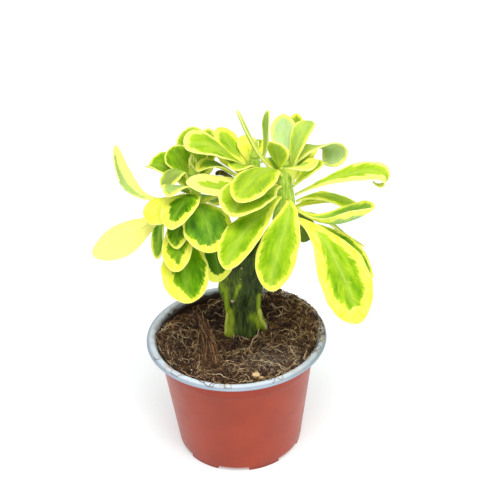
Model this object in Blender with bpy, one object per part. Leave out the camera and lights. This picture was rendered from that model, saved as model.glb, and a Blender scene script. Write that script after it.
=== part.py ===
"""A potted euphorbia: a branching succulent stem with spoon-shaped variegated leaves, in a nursery pot.

Lengths below are in millimetres and turned into metres as each mesh is made. The origin is the middle
of the pot's underside, +Z is up and the plant's fuller side, with its lowest leaves, faces -Y.
"""

import math

import bmesh
import bpy
import numpy as np

MM = 0.001
GAP = 0.3  # clearance between pieces that touch on the real plant

# Pot, a moulded plastic shell
POT_HEIGHT = 83.8
RIM_RADIUS = 60.0
LIP_EDGE = 1.0
LIP_DROP = 2.4
CREST_RADIUS = 57.0
MOUTH_RADIUS = 54.5
MOUTH_DROP = 3.4
COLLAR_RADII = (52.4, 53.4)
STEP_HEIGHT = 69.5
STEP_RADIUS = 51.0
BASE_RADIUS = 42.0
WALL = 1.2
FLOOR_UNDERSIDE = 2.2
FLOOR_TOP = 3.6
POT_SIDES = 48

FOOT_COUNT = 6
FOOT_SPAN = 30.0
FOOT_TURN = -128.0
FOOT_RADII = (37.8, 41.7)
FOOT_SINK = 0.7
PAD_RADIUS = 9.0
DRAIN_RADIUS = 3.5
DRAIN_CIRCLE = 26.0

# Soil, a plug of coir and peat with a plain hole for the stem
SOIL_LEVEL = 80.6
SOIL_SIDES = 40
HOLE_CENTRE = (6.0, 10.5)
HOLE_RADIUS = 17.4
HOLE_FLOOR = 61.0

# Stem: the trunk's middle line and mean radius, from the bottom upwards
TRUNK_LINE = [
    # height, middle x, middle y, radius between the ribs
    (HOLE_FLOOR + GAP, 6.0, 10.5, 10.0),
    (70.0, 6.0, 10.5, 10.8),
    (80.0, 6.0, 10.5, 11.2),
    (88.0, 6.0, 10.3, 10.6),
    (98.0, 6.1, 9.6, 9.6),
    (108.0, 5.8, 8.6, 9.9),
    (118.0, 5.2, 7.4, 11.4),
    (127.0, 5.2, 6.4, 11.6),
    (136.0, 6.0, 5.6, 10.4),
    (144.0, 7.0, 5.0, 8.8),
    (150.0, 7.5, 4.8, 6.2),
]
TRUNK_SIDES = 36
# ribs: angle at the soil, angle at the top, height at the soil, at the waist and at the shoulder
RIBS = [
    (-147.0, -163.0, 5.6, 4.6, 6.2),
    (-100.0, -86.0, 0.8, 1.0, 1.2),
    (-6.0, -22.0, 4.4, 0.9, 2.8),
    (58.0, 48.0, 2.6, 2.0, 2.0),
    (152.0, 130.0, 4.2, 2.6, 2.4),
]
RIB_SPREAD = 17.0

BRANCH_SIDES = 12
SHOOT_TIP_RADIUS = 3.2
SHOOT_TAPER = 0.13
LEAF_THICKNESS = 1.3
LEAF_SEAT = 0.35

# Each shoot: its growing end, the direction it grows in, the length that bears leaves, and where its
# branch leaves the trunk and in which directions it sets out and arrives.
SHOOTS = {
    "right": dict(apex=(34, 2, 207), lean=(0, 0.06, 1), length=40, start=(8, 5, 126), bend=(12, 3, 146)),
    "middle": dict(apex=(16, 22, 203), lean=(0.08, 0.05, 1), length=32, start=(6, 7, 126), bend=(7, 9, 146)),
    "left": dict(apex=(-23, 9, 199), lean=(0.02, 0.15, 1), length=36, start=(4, 6, 126), bend=(0, 5, 146)),
}
BRANCH_RISE = 17.0
BRANCH_RADIUS = 9.4


def leaf(level, tip, rise, fall, width, **more):
    """One leaf: how far below the growing end it sits, where its tip is, the angles at which it leaves
    the stem and arrives at its tip, and its width. The other values bend it.

    cup bends the blade across, twist turns it about its midrib, curl rolls its end under from
    curl_from onwards, reach stretches the curve, swing turns its start sideways, near rolls one edge up,
    and a higher taper keeps the foot narrow for longer.
    """
    values = dict(cup=8, twist=0, curl=0, curl_from=0.8, reach=1.0, swing=0, near=0, taper=1.7)
    values.update(more)
    values.update(level=level, tip=tip, rise=rise, fall=fall, width=width)
    return values


LEAVES = {
    "right": [
        leaf(5, (5, -43, 207), 56, -35, 26, cup=-12),
        leaf(5, (6, 0, 246), 45, 72, 12, cup=25),
        leaf(1, (28, -8, 228), 62, 70, 15, cup=22, reach=0.8),
        leaf(5, (35, 31, 228), 75, 60, 17, cup=25),
        leaf(8, (52, 25, 225), 85, -20, 14, reach=1.2, swing=-25),
        leaf(9, (-26, -15, 206), -14, 22, 23, cup=16, twist=10, swing=-5),
        leaf(10, (60, 21, 197), 80, -150, 24, cup=10, reach=2.4, swing=36, twist=22),
        leaf(12, (0, -38, 195), 12, -42, 35, cup=14),
        leaf(11, (48, -18, 213), 84, -4, 21, cup=14, reach=1.3, swing=22, taper=2.6),
        leaf(16, (59, 14, 202), 35, 5, 13, cup=20),
        leaf(17, (44, 40, 224), 46, 70, 16, cup=10),
        leaf(19, (-4, -57, 170), -5, -50, 24, cup=10),
        leaf(20, (102, -9, 192), 31, -85, 17, cup=12, twist=-14, curl=160, curl_from=0.74, reach=1.05),
        leaf(21, (50, 58, 188), 35, -40, 24),
        leaf(24, (34, 60, 180), 25, -50, 24),
        leaf(21, (22, -50, 149), 18, -82, 25, cup=10, swing=25),
        leaf(26, (83, 12, 170), 22, -28, 15, cup=-15, twist=-8),
        leaf(29, (87, -22, 188), -33, 40, 29, cup=30, near=75, taper=2.6),
        leaf(32, (84, 42, 152), 0, -45, 24),
        leaf(34, (87, 22, 134), -16, -34, 15, cup=10),
        leaf(34, (77, -47, 121), 8, -62, 39, twist=-4, taper=2.2),
        leaf(37, (27, -20, 145), 0, -85, 16, cup=10),
        leaf(38, (89, -10, 130), -20, -60, 24, cup=14),
        leaf(38, (47, 34, 132), 0, -80, 20, cup=0),
    ],
    "middle": [
        leaf(4, (26, 24, 234), 65, 80, 15, cup=20),
        leaf(6, (-26, 2, 221), 38, -15, 31, cup=10, twist=10),
        leaf(8, (10, 38, 211), 60, 20, 13, cup=10),
        leaf(9, (-7, 38, 217), 50, 50, 19, cup=10),
        leaf(9, (4, -5, 208), 42, -20, 17, cup=10),
        leaf(14, (-20, 2, 205), 28, -36, 15, cup=28),
        leaf(14, (14, 72, 188), 30, -50, 24),
        leaf(20, (-1, 58, 188), 30, -45, 24),
        leaf(24, (32, 68, 158), 10, -60, 24),
    ],
    "left": [
        leaf(2, (-41, -7, 199), 80, -48, 14, cup=0, reach=1.6),
        leaf(3, (-35, 20, 214), 60, 60, 22, cup=10),
        leaf(8, (-51, 20, 201), 43, -26, 26, cup=45),
        leaf(9, (-22, 39, 218), 65, 50, 22, cup=12),
        leaf(9, (-36, -35, 208), 18, -34, 15, cup=0),
        leaf(11, (-36, -42, 190), 30, -48, 21, cup=10, swing=18),
        leaf(13, (-12, 46, 213), 55, 50, 18, cup=12),
        leaf(14, (-50, -17, 180), 18, -50, 25, cup=0),
        leaf(14, (-41, 50, 185), 35, -40, 24),
        leaf(17, (-12, -37, 170), 32, -74, 31),
        leaf(12, (-69, 4, 224), -22, 95, 15, cup=40, twist=30, reach=1.35, taper=4.5),
        leaf(17, (-34, -31, 170), 0, -75, 15, cup=15),
        leaf(16, (-89, -4, 152), -32, -16, 24, twist=30, taper=4),
        leaf(20, (-22, 62, 172), 25, -60, 24),
        leaf(25, (-10, 50, 154), 10, -60, 24),
        leaf(21, (-35, -35, 156), 5, -75, 20, cup=25),
        leaf(23, (-51, 15, 136), 0, -75, 20, cup=10, twist=45),
        leaf(26, (-29, -37, 134), -35, -72, 30, cup=12, swing=-14),
        leaf(28, (-40, 42, 145), 0, -70, 26),
        leaf(31, (-9, -20, 138), 12, -80, 24, cup=10),
    ],
}

YOUNG_LEAVES = {"right": 6, "middle": 4, "left": 4}
YOUNG_TURN = 137.5


def unit(vectors):
    """The same directions at length one, along the last axis."""
    vectors = np.asarray(vectors, float)
    return vectors / np.linalg.norm(vectors, axis=-1, keepdims=True)


def new_object(name, points, faces, colour, roughness):
    """An object made of points in millimetres and faces, with its own material."""
    mesh = bpy.data.meshes.new(name)
    mesh.from_pydata((np.asarray(points, float) * MM).tolist(), [], [list(map(int, f)) for f in faces])
    return dress(name, mesh, colour, roughness)


def dress(name, mesh, colour, roughness):
    """Wraps a mesh in an object with a Principled BSDF of one colour and smooth shading."""
    mesh.validate()
    material = bpy.data.materials.new(name)
    material.use_nodes = True
    shader = material.node_tree.nodes["Principled BSDF"]
    shader.inputs["Base Color"].default_value = (*colour, 1.0)
    shader.inputs["Roughness"].default_value = roughness
    mesh.materials.append(material)
    mesh.shade_smooth()
    mesh.set_sharp_from_angle(angle=math.radians(40.0))
    piece = bpy.data.objects.new(name, mesh)
    bpy.context.collection.objects.link(piece)
    return piece


def facing_out(faces, points):
    """The faces as they are, or all turned round if they enclose a negative volume."""
    corners = np.asarray(points, float)[np.asarray(faces)]
    volume = np.einsum("ij,ij->i", corners[:, 0], np.cross(corners[:, 1], corners[:, 2])).sum()
    return faces if volume > 0 else faces[:, ::-1]


def tube_faces(rings, sides):
    """Triangles of a tube with rings of points one after another, closed by a fan at each end whose
    middle points come last."""
    a = np.arange(sides)
    b = (a + 1) % sides
    walls = [
        np.stack([row + np.stack([a, b, b + sides], 1), row + np.stack([a, b + sides, a + sides], 1)])
        for row in range(0, (rings - 1) * sides, sides)
    ]
    last = (rings - 1) * sides
    start = np.stack([b, a, np.full(sides, rings * sides)], 1)
    end = np.stack([last + a, last + b, np.full(sides, rings * sides + 1)], 1)
    return np.concatenate([np.concatenate(walls).reshape(-1, 3), start, end])


def fuse(target, others, operation="UNION"):
    """Joins or cuts the target with closed objects, keeps the result as its mesh and removes them."""
    group = bpy.data.collections.new(target.name + "_with")
    for other in others:
        group.objects.link(other)
    step = target.modifiers.new("join", "BOOLEAN")
    step.operand_type = "COLLECTION"
    step.operation = operation
    step.solver = "EXACT"
    step.collection = group
    graph = bpy.context.evaluated_depsgraph_get()
    mesh = bpy.data.meshes.new_from_object(target.evaluated_get(graph))
    target.modifiers.clear()
    old = target.data
    target.data = mesh
    bpy.data.meshes.remove(old)
    for other in others:
        bpy.data.objects.remove(other)
    bpy.data.collections.remove(group)


def keep_outer_skin(mesh):
    """Removes every skin but the largest, so that what a union has walled in is solid."""
    work = bmesh.new()
    work.from_mesh(mesh)
    left, skins = set(work.faces), []
    while left:
        skin, edge = [], [left.pop()]
        while edge:
            face = edge.pop()
            skin.append(face)
            near = {f for e in face.edges for f in e.link_faces} & left
            left -= near
            edge.extend(near)
        skins.append(skin)
    skins.sort(key=len)
    for skin in skins[:-1]:
        bmesh.ops.delete(work, geom=skin, context="FACES")
    work.to_mesh(mesh)
    work.free()


def pot_profile():
    """The pot's section from the middle of its floor, up inside, over the lip and down outside."""
    top = POT_HEIGHT
    edge_low = top - LIP_DROP
    base = BASE_RADIUS - WALL
    collar_low, collar_high = COLLAR_RADII
    return [
        (0.0, FLOOR_TOP),
        (base - 0.8, FLOOR_TOP),
        (base + 0.2, FLOOR_TOP + 0.9),
        (STEP_RADIUS - WALL, STEP_HEIGHT),
        (collar_low - WALL, STEP_HEIGHT + 0.8),
        (collar_high - WALL, top - MOUTH_DROP),
        (MOUTH_RADIUS, top - 0.6),
        (MOUTH_RADIUS + 0.9, top),
        (CREST_RADIUS, top),
        (RIM_RADIUS - 0.4, edge_low + LIP_EDGE + 0.3),
        (RIM_RADIUS, edge_low + LIP_EDGE - 0.1),
        (RIM_RADIUS, edge_low + 0.2),
        (RIM_RADIUS - 1.0, edge_low),
        (CREST_RADIUS - 0.2, top - 1.3),
        (MOUTH_RADIUS + 1.1, top - 1.4),
        (collar_high, top - MOUTH_DROP),
        (collar_low, STEP_HEIGHT + 0.8),
        (STEP_RADIUS, STEP_HEIGHT),
        (BASE_RADIUS + 0.3, FLOOR_UNDERSIDE + 1.0),
        (BASE_RADIUS - 0.6, FLOOR_UNDERSIDE),
        (0.0, FLOOR_UNDERSIDE),
    ]


def build_pot():
    shell = bmesh.new()
    ring = [shell.verts.new((r * MM, 0.0, z * MM)) for r, z in pot_profile()]
    edges = [shell.edges.new(pair) for pair in zip(ring, ring[1:])]
    bmesh.ops.spin(
        shell, geom=ring + edges, cent=(0, 0, 0), axis=(0, 0, 1), angle=2 * math.pi, steps=POT_SIDES
    )
    bmesh.ops.remove_doubles(shell, verts=shell.verts, dist=1e-6)
    bmesh.ops.recalc_face_normals(shell, faces=shell.faces)
    mesh = bpy.data.meshes.new("pot")
    shell.to_mesh(mesh)
    shell.free()
    pot = dress("pot", mesh, (0.46, 0.09, 0.052), 0.42)
    fuse(pot, [foot(i) for i in range(FOOT_COUNT)] + [disc("pad", PAD_RADIUS, 0.0, FLOOR_UNDERSIDE + FOOT_SINK)])
    turns = [math.radians(FOOT_TURN + 360.0 * (i + 0.5) / FOOT_COUNT) for i in range(FOOT_COUNT)]
    drains = [
        disc("drain", DRAIN_RADIUS, -1.0, FLOOR_TOP + 1.0, (DRAIN_CIRCLE * math.cos(a), DRAIN_CIRCLE * math.sin(a)))
        for a in turns
    ]
    fuse(pot, drains, "DIFFERENCE")


def foot(index):
    """A short arc of the pot's base ring that reaches down to the ground."""
    steps = 5
    middle = FOOT_TURN + 360.0 * index / FOOT_COUNT
    angles = np.radians(np.linspace(middle - FOOT_SPAN / 2, middle + FOOT_SPAN / 2, steps))
    inner, outer = FOOT_RADII
    top = FLOOR_UNDERSIDE + FOOT_SINK
    section = [(inner, 0.0), (outer, 0.0), (outer, top), (inner, top)]
    points = [(r * math.cos(a), r * math.sin(a), z) for a in angles for r, z in section]
    faces = []
    for row in range(0, 4 * (steps - 1), 4):
        faces += [(row + i, row + (i + 1) % 4, row + (i + 1) % 4 + 4, row + i + 4) for i in range(4)]
    last = 4 * (steps - 1)
    faces += [(3, 2, 1, 0), (last, last + 1, last + 2, last + 3)]
    piece = new_object("foot", points, faces, (0.46, 0.09, 0.052), 0.42)
    turn_out(piece.data)
    return piece


def turn_out(mesh):
    """Points every face of a closed mesh outwards."""
    work = bmesh.new()
    work.from_mesh(mesh)
    bmesh.ops.recalc_face_normals(work, faces=work.faces)
    work.to_mesh(mesh)
    work.free()


def disc(name, radius, low, high, centre=(0.0, 0.0), sides=12):
    """An upright cylinder from low to high."""
    angles = 2 * np.pi * np.arange(sides) / sides
    circle = np.stack([centre[0] + radius * np.cos(angles), centre[1] + radius * np.sin(angles)], 1)
    rings = [np.column_stack([circle, np.full(sides, z)]) for z in (low, high)]
    points = np.concatenate(rings + [[(*centre, low), (*centre, high)]])
    return new_object(name, points, facing_out(tube_faces(2, sides), points), (0.46, 0.09, 0.052), 0.42)


def pot_inner_radius(height):
    """The radius of the pot's inside at a height."""
    inside = pot_profile()[2:7]
    return np.interp(height, [z for r, z in inside], [r for r, z in inside])


def soil_height(x, y):
    """Height of the soil: level, heaped at the right and the left edge, sunk at the back left, a little
    hollow round the stem, with low lumps made of sines."""
    angle = np.degrees(np.arctan2(y, x))
    share = np.clip((np.hypot(x, y) - 14.0) / 38.0, 0, 1)
    heap = 3.0 * np.exp(-(((angle - 22.0) / 42.0) ** 2)) * share
    heap += 1.2 * np.exp(-(((np.abs(angle) - 172.0) / 22.0) ** 2)) * share
    heap -= 5.0 * np.exp(-(((angle - 126.0) / 30.0) ** 2)) * share
    heap += 0.8 * np.exp(-(((angle + 80.0) / 50.0) ** 2)) * share
    hollow = 0.8 * np.exp(-((share / 0.22) ** 2))
    lumps = 0.7 * np.sin(0.23 * x + 1.0) * np.cos(0.27 * y - 0.4)
    lumps += 0.45 * np.sin(0.55 * x - 0.35 * y) + 0.35 * np.sin(0.31 * x + 0.62 * y + 2.0)
    return SOIL_LEVEL + heap - hollow + lumps


def build_soil():
    """Rings of points from the hole's floor up its wall, out over the top and down the pot's inside."""
    angles = 2 * np.pi * np.arange(SOIL_SIDES) / SOIL_SIDES
    around = np.stack([np.cos(angles), np.sin(angles)], 1)
    hole = np.array(HOLE_CENTRE)
    rim = COLLAR_RADII[1] - WALL - GAP
    rings = [np.column_stack([hole + HOLE_RADIUS * around, np.full(SOIL_SIDES, HOLE_FLOOR)])]
    for share in np.linspace(0.0, 1.0, 7):
        centre = hole * (1.0 - share)
        flat = centre + (HOLE_RADIUS + (rim - HOLE_RADIUS) * share) * around
        rings.append(np.column_stack([flat, soil_height(flat[:, 0], flat[:, 1])]))
    edge = np.minimum(pot_inner_radius(rings[-1][:, 2]) - GAP, rim)
    rings[-1][:, :2] = edge[:, None] * around
    for height, inset in ((STEP_HEIGHT + 0.8, 0.0), (STEP_HEIGHT, 0.0), (FLOOR_TOP + 1.6, 0.0), (FLOOR_TOP, 1.0)):
        radius = pot_inner_radius(height) - GAP - inset
        rings.append(np.column_stack([radius * around, np.full(SOIL_SIDES, height + GAP)]))
    middles = [(*HOLE_CENTRE, HOLE_FLOOR), (0.0, 0.0, FLOOR_TOP + GAP)]
    points = np.concatenate(rings + [middles])
    faces = facing_out(tube_faces(len(rings), SOIL_SIDES), points)
    new_object("soil", points, faces, (0.10, 0.052, 0.03), 0.95)


def trunk_mesh():
    """Rings up the trunk whose radius swells at each rib by a bell curve of the angle."""
    line = np.array(TRUNK_LINE)
    heights = line[:, 0]
    climb = np.clip((heights - 80.0) / 60.0, 0, 1)
    angles = 360.0 * np.arange(TRUNK_SIDES) / TRUNK_SIDES
    radius = np.repeat(line[:, 3][:, None], TRUNK_SIDES, 1)
    for low, high, at_soil, at_waist, at_shoulder in RIBS:
        place = low + (high - low) * climb
        away = (angles[None] - place[:, None] + 180.0) % 360.0 - 180.0
        swell = np.interp(heights, (62, 80, 98, 119, 136, 150), (0.4, at_soil, at_waist, at_shoulder, 1.0, 0.2))
        radius += swell[:, None] * np.exp(-((away / RIB_SPREAD) ** 2))
    turn = np.radians(angles)
    x = line[:, 1][:, None] + radius * np.cos(turn)
    y = line[:, 2][:, None] + radius * np.sin(turn)
    z = np.repeat(heights[:, None], TRUNK_SIDES, 1)
    middles = [line[0, [1, 2, 0]], line[-1, [1, 2, 0]] + (0, 0, 1.5)]
    points = np.concatenate([np.stack([x, y, z], -1).reshape(-1, 3), middles])
    return points, facing_out(tube_faces(len(line), TRUNK_SIDES), points)


def branch_mesh(shoot):
    """A tube along a cubic curve out of the trunk, then straight to the growing end."""
    lean = unit(shoot["lean"])
    apex = np.array(shoot["apex"], float)
    low = apex - lean * shoot["length"]
    corners = [np.array(shoot["start"], float), np.array(shoot["bend"], float), low - lean * BRANCH_RISE, low]
    t = np.linspace(0.0, 1.0, 7)[:, None]
    weights = [(1 - t) ** 3, 3 * (1 - t) ** 2 * t, 3 * (1 - t) * t**2, t**3]
    curve = sum(w * c for w, c in zip(weights, corners))
    straight = [apex - lean * level for level in (shoot["length"] * 0.5, 3.0, 0.0)]
    centre = np.concatenate([curve, straight])
    shoot_radius = SHOOT_TIP_RADIUS + SHOOT_TAPER * shoot["length"]
    radius = np.concatenate([
        np.linspace(BRANCH_RADIUS, shoot_radius, len(curve)),
        [SHOOT_TIP_RADIUS + SHOOT_TAPER * level for level in (shoot["length"] * 0.5, 3.0, 0.0)],
    ])
    along = unit(np.gradient(centre, axis=0))
    along[len(curve) - 1 :] = lean
    side = unit(np.cross(along, (0.0, 1.0, 0.0)))
    other = np.cross(along, side)
    angles = 2 * np.pi * np.arange(BRANCH_SIDES) / BRANCH_SIDES
    spoke = np.cos(angles)[None, :, None] * side[:, None] + np.sin(angles)[None, :, None] * other[:, None]
    points = centre[:, None] + spoke * radius[:, None, None]
    points = np.concatenate([points.reshape(-1, 3), [centre[0], centre[-1]]])
    return points, facing_out(tube_faces(len(centre), BRANCH_SIDES), points)


def build_stem():
    colour = (0.045, 0.11, 0.035)
    stem = new_object("stem", *trunk_mesh(), colour, 0.5)
    branches = [new_object(side + "_branch", *branch_mesh(shoot), colour, 0.5) for side, shoot in SHOOTS.items()]
    fuse(stem, branches)


def blade_outline(share, taper):
    """Half width along a leaf as a share of its widest: a narrow foot that swells by a sine to the
    widest place, then a rounded end."""
    widest, foot_share = 0.66, 0.13
    grow = foot_share + (1 - foot_share) * np.sin(np.clip(share / widest, 0, 1) * np.pi / 2) ** taper
    end = np.clip((share - widest) / (1 - widest), 0, 1)
    return np.where(share < widest, grow, (1 - end**2.1) ** 0.58)


def midrib(shoot, values, count):
    """Points spread evenly along a leaf's midrib, its direction and its compass angle at each.

    The midrib is a cubic curve from the stem's surface to the tip. Its end then rolls under by the
    angle curl, which grows from curl_from to the tip.
    """
    lean = unit(shoot["lean"])
    tip = np.array(values["tip"], float)
    foot_centre = np.array(shoot["apex"], float) - lean * values["level"]
    heading = math.atan2(tip[1] - foot_centre[1], tip[0] - foot_centre[0])
    swing = math.radians(values["swing"])
    start, finish = heading + swing, heading - 0.5 * swing
    rise, fall = math.radians(values["rise"]), math.radians(values["fall"])
    out = np.array([math.cos(start), math.sin(start), 0.0])
    out = unit(out - lean * (out @ lean))
    seat = SHOOT_TIP_RADIUS + SHOOT_TAPER * values["level"] + LEAF_SEAT + 0.75 * abs(math.sin(rise))
    root = foot_centre + out * seat
    leave = np.array([math.cos(start) * math.cos(rise), math.sin(start) * math.cos(rise), math.sin(rise)])
    arrive = np.array([math.cos(finish) * math.cos(fall), math.sin(finish) * math.cos(fall), math.sin(fall)])
    hand = 0.38 * np.linalg.norm(tip - root) * values["reach"]
    t = np.linspace(0.0, 1.0, 201)[:, None]
    corners = [root, root + leave * hand, tip - arrive * hand, tip]
    weights = [(1 - t) ** 3, 3 * (1 - t) ** 2 * t, 3 * (1 - t) * t**2, t**3]
    curve = sum(w * c for w, c in zip(weights, corners))
    run = np.concatenate([[0.0], np.cumsum(np.linalg.norm(np.diff(curve, axis=0), axis=1))])
    even = np.linspace(0.0, 1.0, count)
    points = np.stack([np.interp(even * run[-1], run, curve[:, i]) for i in range(3)], 1)
    compass = start + (finish - start) * np.interp(even * run[-1], run, t[:, 0])
    along = unit(np.gradient(points, axis=0))
    if values["curl"]:
        side = blade_side(along, compass)
        share = np.clip((even - values["curl_from"]) / (1 - values["curl_from"]), 0, 1)
        roll = (share**1.3 * math.radians(values["curl"]))[:, None]
        along = along * np.cos(roll) - np.cross(side, along) * np.sin(roll)
        steps = (along[:-1] + along[1:]) / 2 * run[-1] / (count - 1)
        points = points[0] + np.concatenate([np.zeros((1, 3)), np.cumsum(steps, axis=0)])
    return points, along, compass, run[-1]


def blade_side(along, compass):
    """The level direction across the blade, square to the midrib."""
    side = np.stack([np.sin(compass), -np.cos(compass), 0 * compass], 1)
    return unit(side - along * (side * along).sum(1, keepdims=True))


def blade_section(values, places):
    """The curve across a blade of half width one: its slope turns by cup from the midrib to each edge,
    and by near more towards one edge."""
    fine = np.linspace(-1.0, 1.0, 201)
    slope = math.radians(values["cup"]) * fine
    slope = slope + math.radians(values["near"]) * np.clip((fine - 0.3) / 0.7, 0, 1)
    step = fine[1] - fine[0]
    across = np.concatenate([[0.0], np.cumsum((np.cos(slope)[1:] + np.cos(slope)[:-1]) / 2 * step)])
    lift = np.concatenate([[0.0], np.cumsum((np.sin(slope)[1:] + np.sin(slope)[:-1]) / 2 * step)])
    middle = len(fine) // 2
    return np.interp(places, fine, across - across[middle]), np.interp(places, fine, lift - lift[middle])


def blade_surface(shoot, values, along_count, across_count):
    """The middle surface of a leaf as a grid of points: the section, scaled by the outline, carried
    along the midrib in a frame that turns by twist."""
    points, along, compass, length = midrib(shoot, values, 161)
    even = np.linspace(0.0, 1.0, len(points))
    share = 1 - (1 - np.linspace(0.0, 1.0, along_count)) ** 1.35
    middle = np.stack([np.interp(share, even, points[:, i]) for i in range(3)], 1)
    forward = unit(np.stack([np.interp(share, even, along[:, i]) for i in range(3)], 1))
    side = blade_side(forward, np.interp(share, even, compass))
    up = np.cross(side, forward)
    turn = (math.radians(values["twist"]) * np.clip(share * 1.6, 0, 1))[:, None]
    side, up = side * np.cos(turn) + up * np.sin(turn), up * np.cos(turn) - side * np.sin(turn)
    half = np.maximum(values["width"] / 2 * blade_outline(share, values["taper"]), 0.35)
    across, lift = blade_section(values, np.linspace(-1.0, 1.0, across_count))
    offset = side[:, None] * across[None, :, None] + up[:, None] * lift[None, :, None]
    return middle[:, None] + offset * half[:, None, None]


def leaf_mesh(shoot, values, along_count, across_count):
    """A closed blade: its middle surface moved out both ways, split into the same triangles above and
    below, with a band of triangles round its edge."""
    middle = blade_surface(shoot, values, along_count, across_count)
    normal = unit(np.cross(np.gradient(middle, axis=1), np.gradient(middle, axis=0)))
    places = np.linspace(-1.0, 1.0, across_count)
    length_share = np.linspace(0.0, 1.0, along_count)[:, None, None]
    thickness = LEAF_THICKNESS * (1.25 - 0.4 * length_share) * (1.0 - 0.4 * places**2)[None, :, None]
    points = np.concatenate([
        (middle + normal * thickness / 2).reshape(-1, 3),
        (middle - normal * thickness / 2).reshape(-1, 3),
    ])
    index = np.arange(along_count * across_count).reshape(along_count, across_count)
    a, b, c, d = (part.ravel() for part in (index[:-1, :-1], index[1:, :-1], index[1:, 1:], index[:-1, 1:]))
    under = along_count * across_count
    rim = np.concatenate([index[:, 0], index[-1, 1:], index[-2::-1, -1], index[0, -2:0:-1]])
    after = np.roll(rim, -1)
    faces = np.concatenate([
        np.stack([a, d, c], 1),
        np.stack([a, c, b], 1),
        np.stack([a, c, d], 1) + under,
        np.stack([a, b, c], 1) + under,
        np.stack([rim, after, after + under], 1),
        np.stack([rim, after + under, rim + under], 1),
    ])
    return points, facing_out(faces, points)


def stations(values, length):
    """How many rows of points a blade needs for its length and its bends."""
    if values["curl"] or length > 62.0:
        return 10
    return 7 if length < 36.0 else 8


def build_leaves():
    for side, leaves in LEAVES.items():
        for number, values in enumerate(leaves, 1):
            length = midrib(SHOOTS[side], values, 21)[3]
            mesh = leaf_mesh(SHOOTS[side], values, stations(values, length), 5)
            new_object("%s_leaf_%02d" % (side, number), *mesh, (0.28, 0.52, 0.05), 0.4)


def young_leaf(shoot, index, count):
    """A short steep leaf out of the growing tip, each turned on from the last by the golden angle."""
    lean = unit(shoot["lean"])
    apex = np.array(shoot["apex"], float)
    turn = math.radians(YOUNG_TURN * index + 30.0)
    share = index / (count - 1)
    reach = 4.6 - 2.4 * share
    height = 10.5 + 3.0 * share
    out = np.array([math.cos(turn), math.sin(turn), 0.0])
    tip = apex + lean * height + out * reach
    return leaf(-1.6 - 1.4 * share, tuple(tip), 82, 74, 4.6 - 1.4 * share, cup=24)


def build_growing_tips():
    for side, shoot in SHOOTS.items():
        lean = unit(shoot["lean"])
        apex = np.array(shoot["apex"], float)
        core = cone(side + "_growing_tip", apex + lean * GAP, lean)
        count = YOUNG_LEAVES[side]
        young = []
        for index in range(count):
            points, faces = leaf_mesh(shoot, young_leaf(shoot, index, count), 5, 3)
            root = points.reshape(2, 5, 3, 3)[:, 0].mean(axis=(0, 1))
            pull = (apex + lean * ((root - apex) @ lean)) - root
            points = points + pull * 0.62
            young.append(new_object("young_leaf", points, faces, (0.5, 0.66, 0.3), 0.45))
        fuse(core, young)
        keep_outer_skin(core.data)


def cone(name, foot_centre, lean, sides=8):
    """A slim blunt cone that stands on the shoot's end."""
    side = unit(np.cross(lean, (0.0, 1.0, 0.0)))
    other = np.cross(lean, side)
    angles = 2 * np.pi * np.arange(sides) / sides
    spoke = np.cos(angles)[:, None] * side + np.sin(angles)[:, None] * other
    levels = [(0.0, 2.9), (1.4, 2.7), (4.0, 1.7), (6.5, 0.8)]
    rings = [foot_centre + lean * height + spoke * radius for height, radius in levels]
    points = np.concatenate(rings + [[foot_centre, foot_centre + lean * 7.2]])
    return new_object(name, points, facing_out(tube_faces(len(levels), sides), points), (0.5, 0.66, 0.3), 0.45)


def main():
    for piece in list(bpy.data.objects):
        bpy.data.objects.remove(piece)
    build_pot()
    build_soil()
    build_stem()
    build_growing_tips()
    build_leaves()


main()
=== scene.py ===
"""The looks of a potted euphorbia: variegated spoon-shaped leaves on a ribbed green stem, coir and peat
soil, and a terracotta-coloured nursery pot with a pale lip.

Shapes are worked out in millimetres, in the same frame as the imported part, and turned into metres as
each mesh is made. The leaves, the stem and the pot follow the same formulas as the part's solids.
"""

import math

import bmesh
import bpy
import numpy as np
from mathutils import Matrix, Vector


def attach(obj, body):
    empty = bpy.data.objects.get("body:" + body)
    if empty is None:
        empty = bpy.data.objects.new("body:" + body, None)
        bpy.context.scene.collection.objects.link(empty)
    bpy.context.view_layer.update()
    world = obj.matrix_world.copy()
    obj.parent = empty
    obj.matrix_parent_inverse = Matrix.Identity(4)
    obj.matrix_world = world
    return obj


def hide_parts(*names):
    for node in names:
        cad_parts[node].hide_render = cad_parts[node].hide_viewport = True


MM = 0.001
GAP = 0.3

# Pot, a moulded plastic shell
POT_HEIGHT = 83.8
RIM_RADIUS = 60.0
LIP_EDGE = 1.0
LIP_DROP = 2.4
CREST_RADIUS = 57.0
MOUTH_RADIUS = 54.5
MOUTH_DROP = 3.4
COLLAR_RADII = (52.4, 53.4)
STEP_HEIGHT = 69.5
STEP_RADIUS = 51.0
BASE_RADIUS = 42.0
WALL = 1.2
FLOOR_UNDERSIDE = 2.2
FLOOR_TOP = 3.6
POT_SIDES = 168

FOOT_COUNT = 6
FOOT_SPAN = 30.0
FOOT_TURN = -128.0
FOOT_RADII = (37.8, 41.7)
FOOT_SINK = 0.7
PAD_RADIUS = 9.0
DRAIN_RADIUS = 3.5
DRAIN_CIRCLE = 26.0

LIP_LOW = POT_HEIGHT - LIP_DROP
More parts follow.
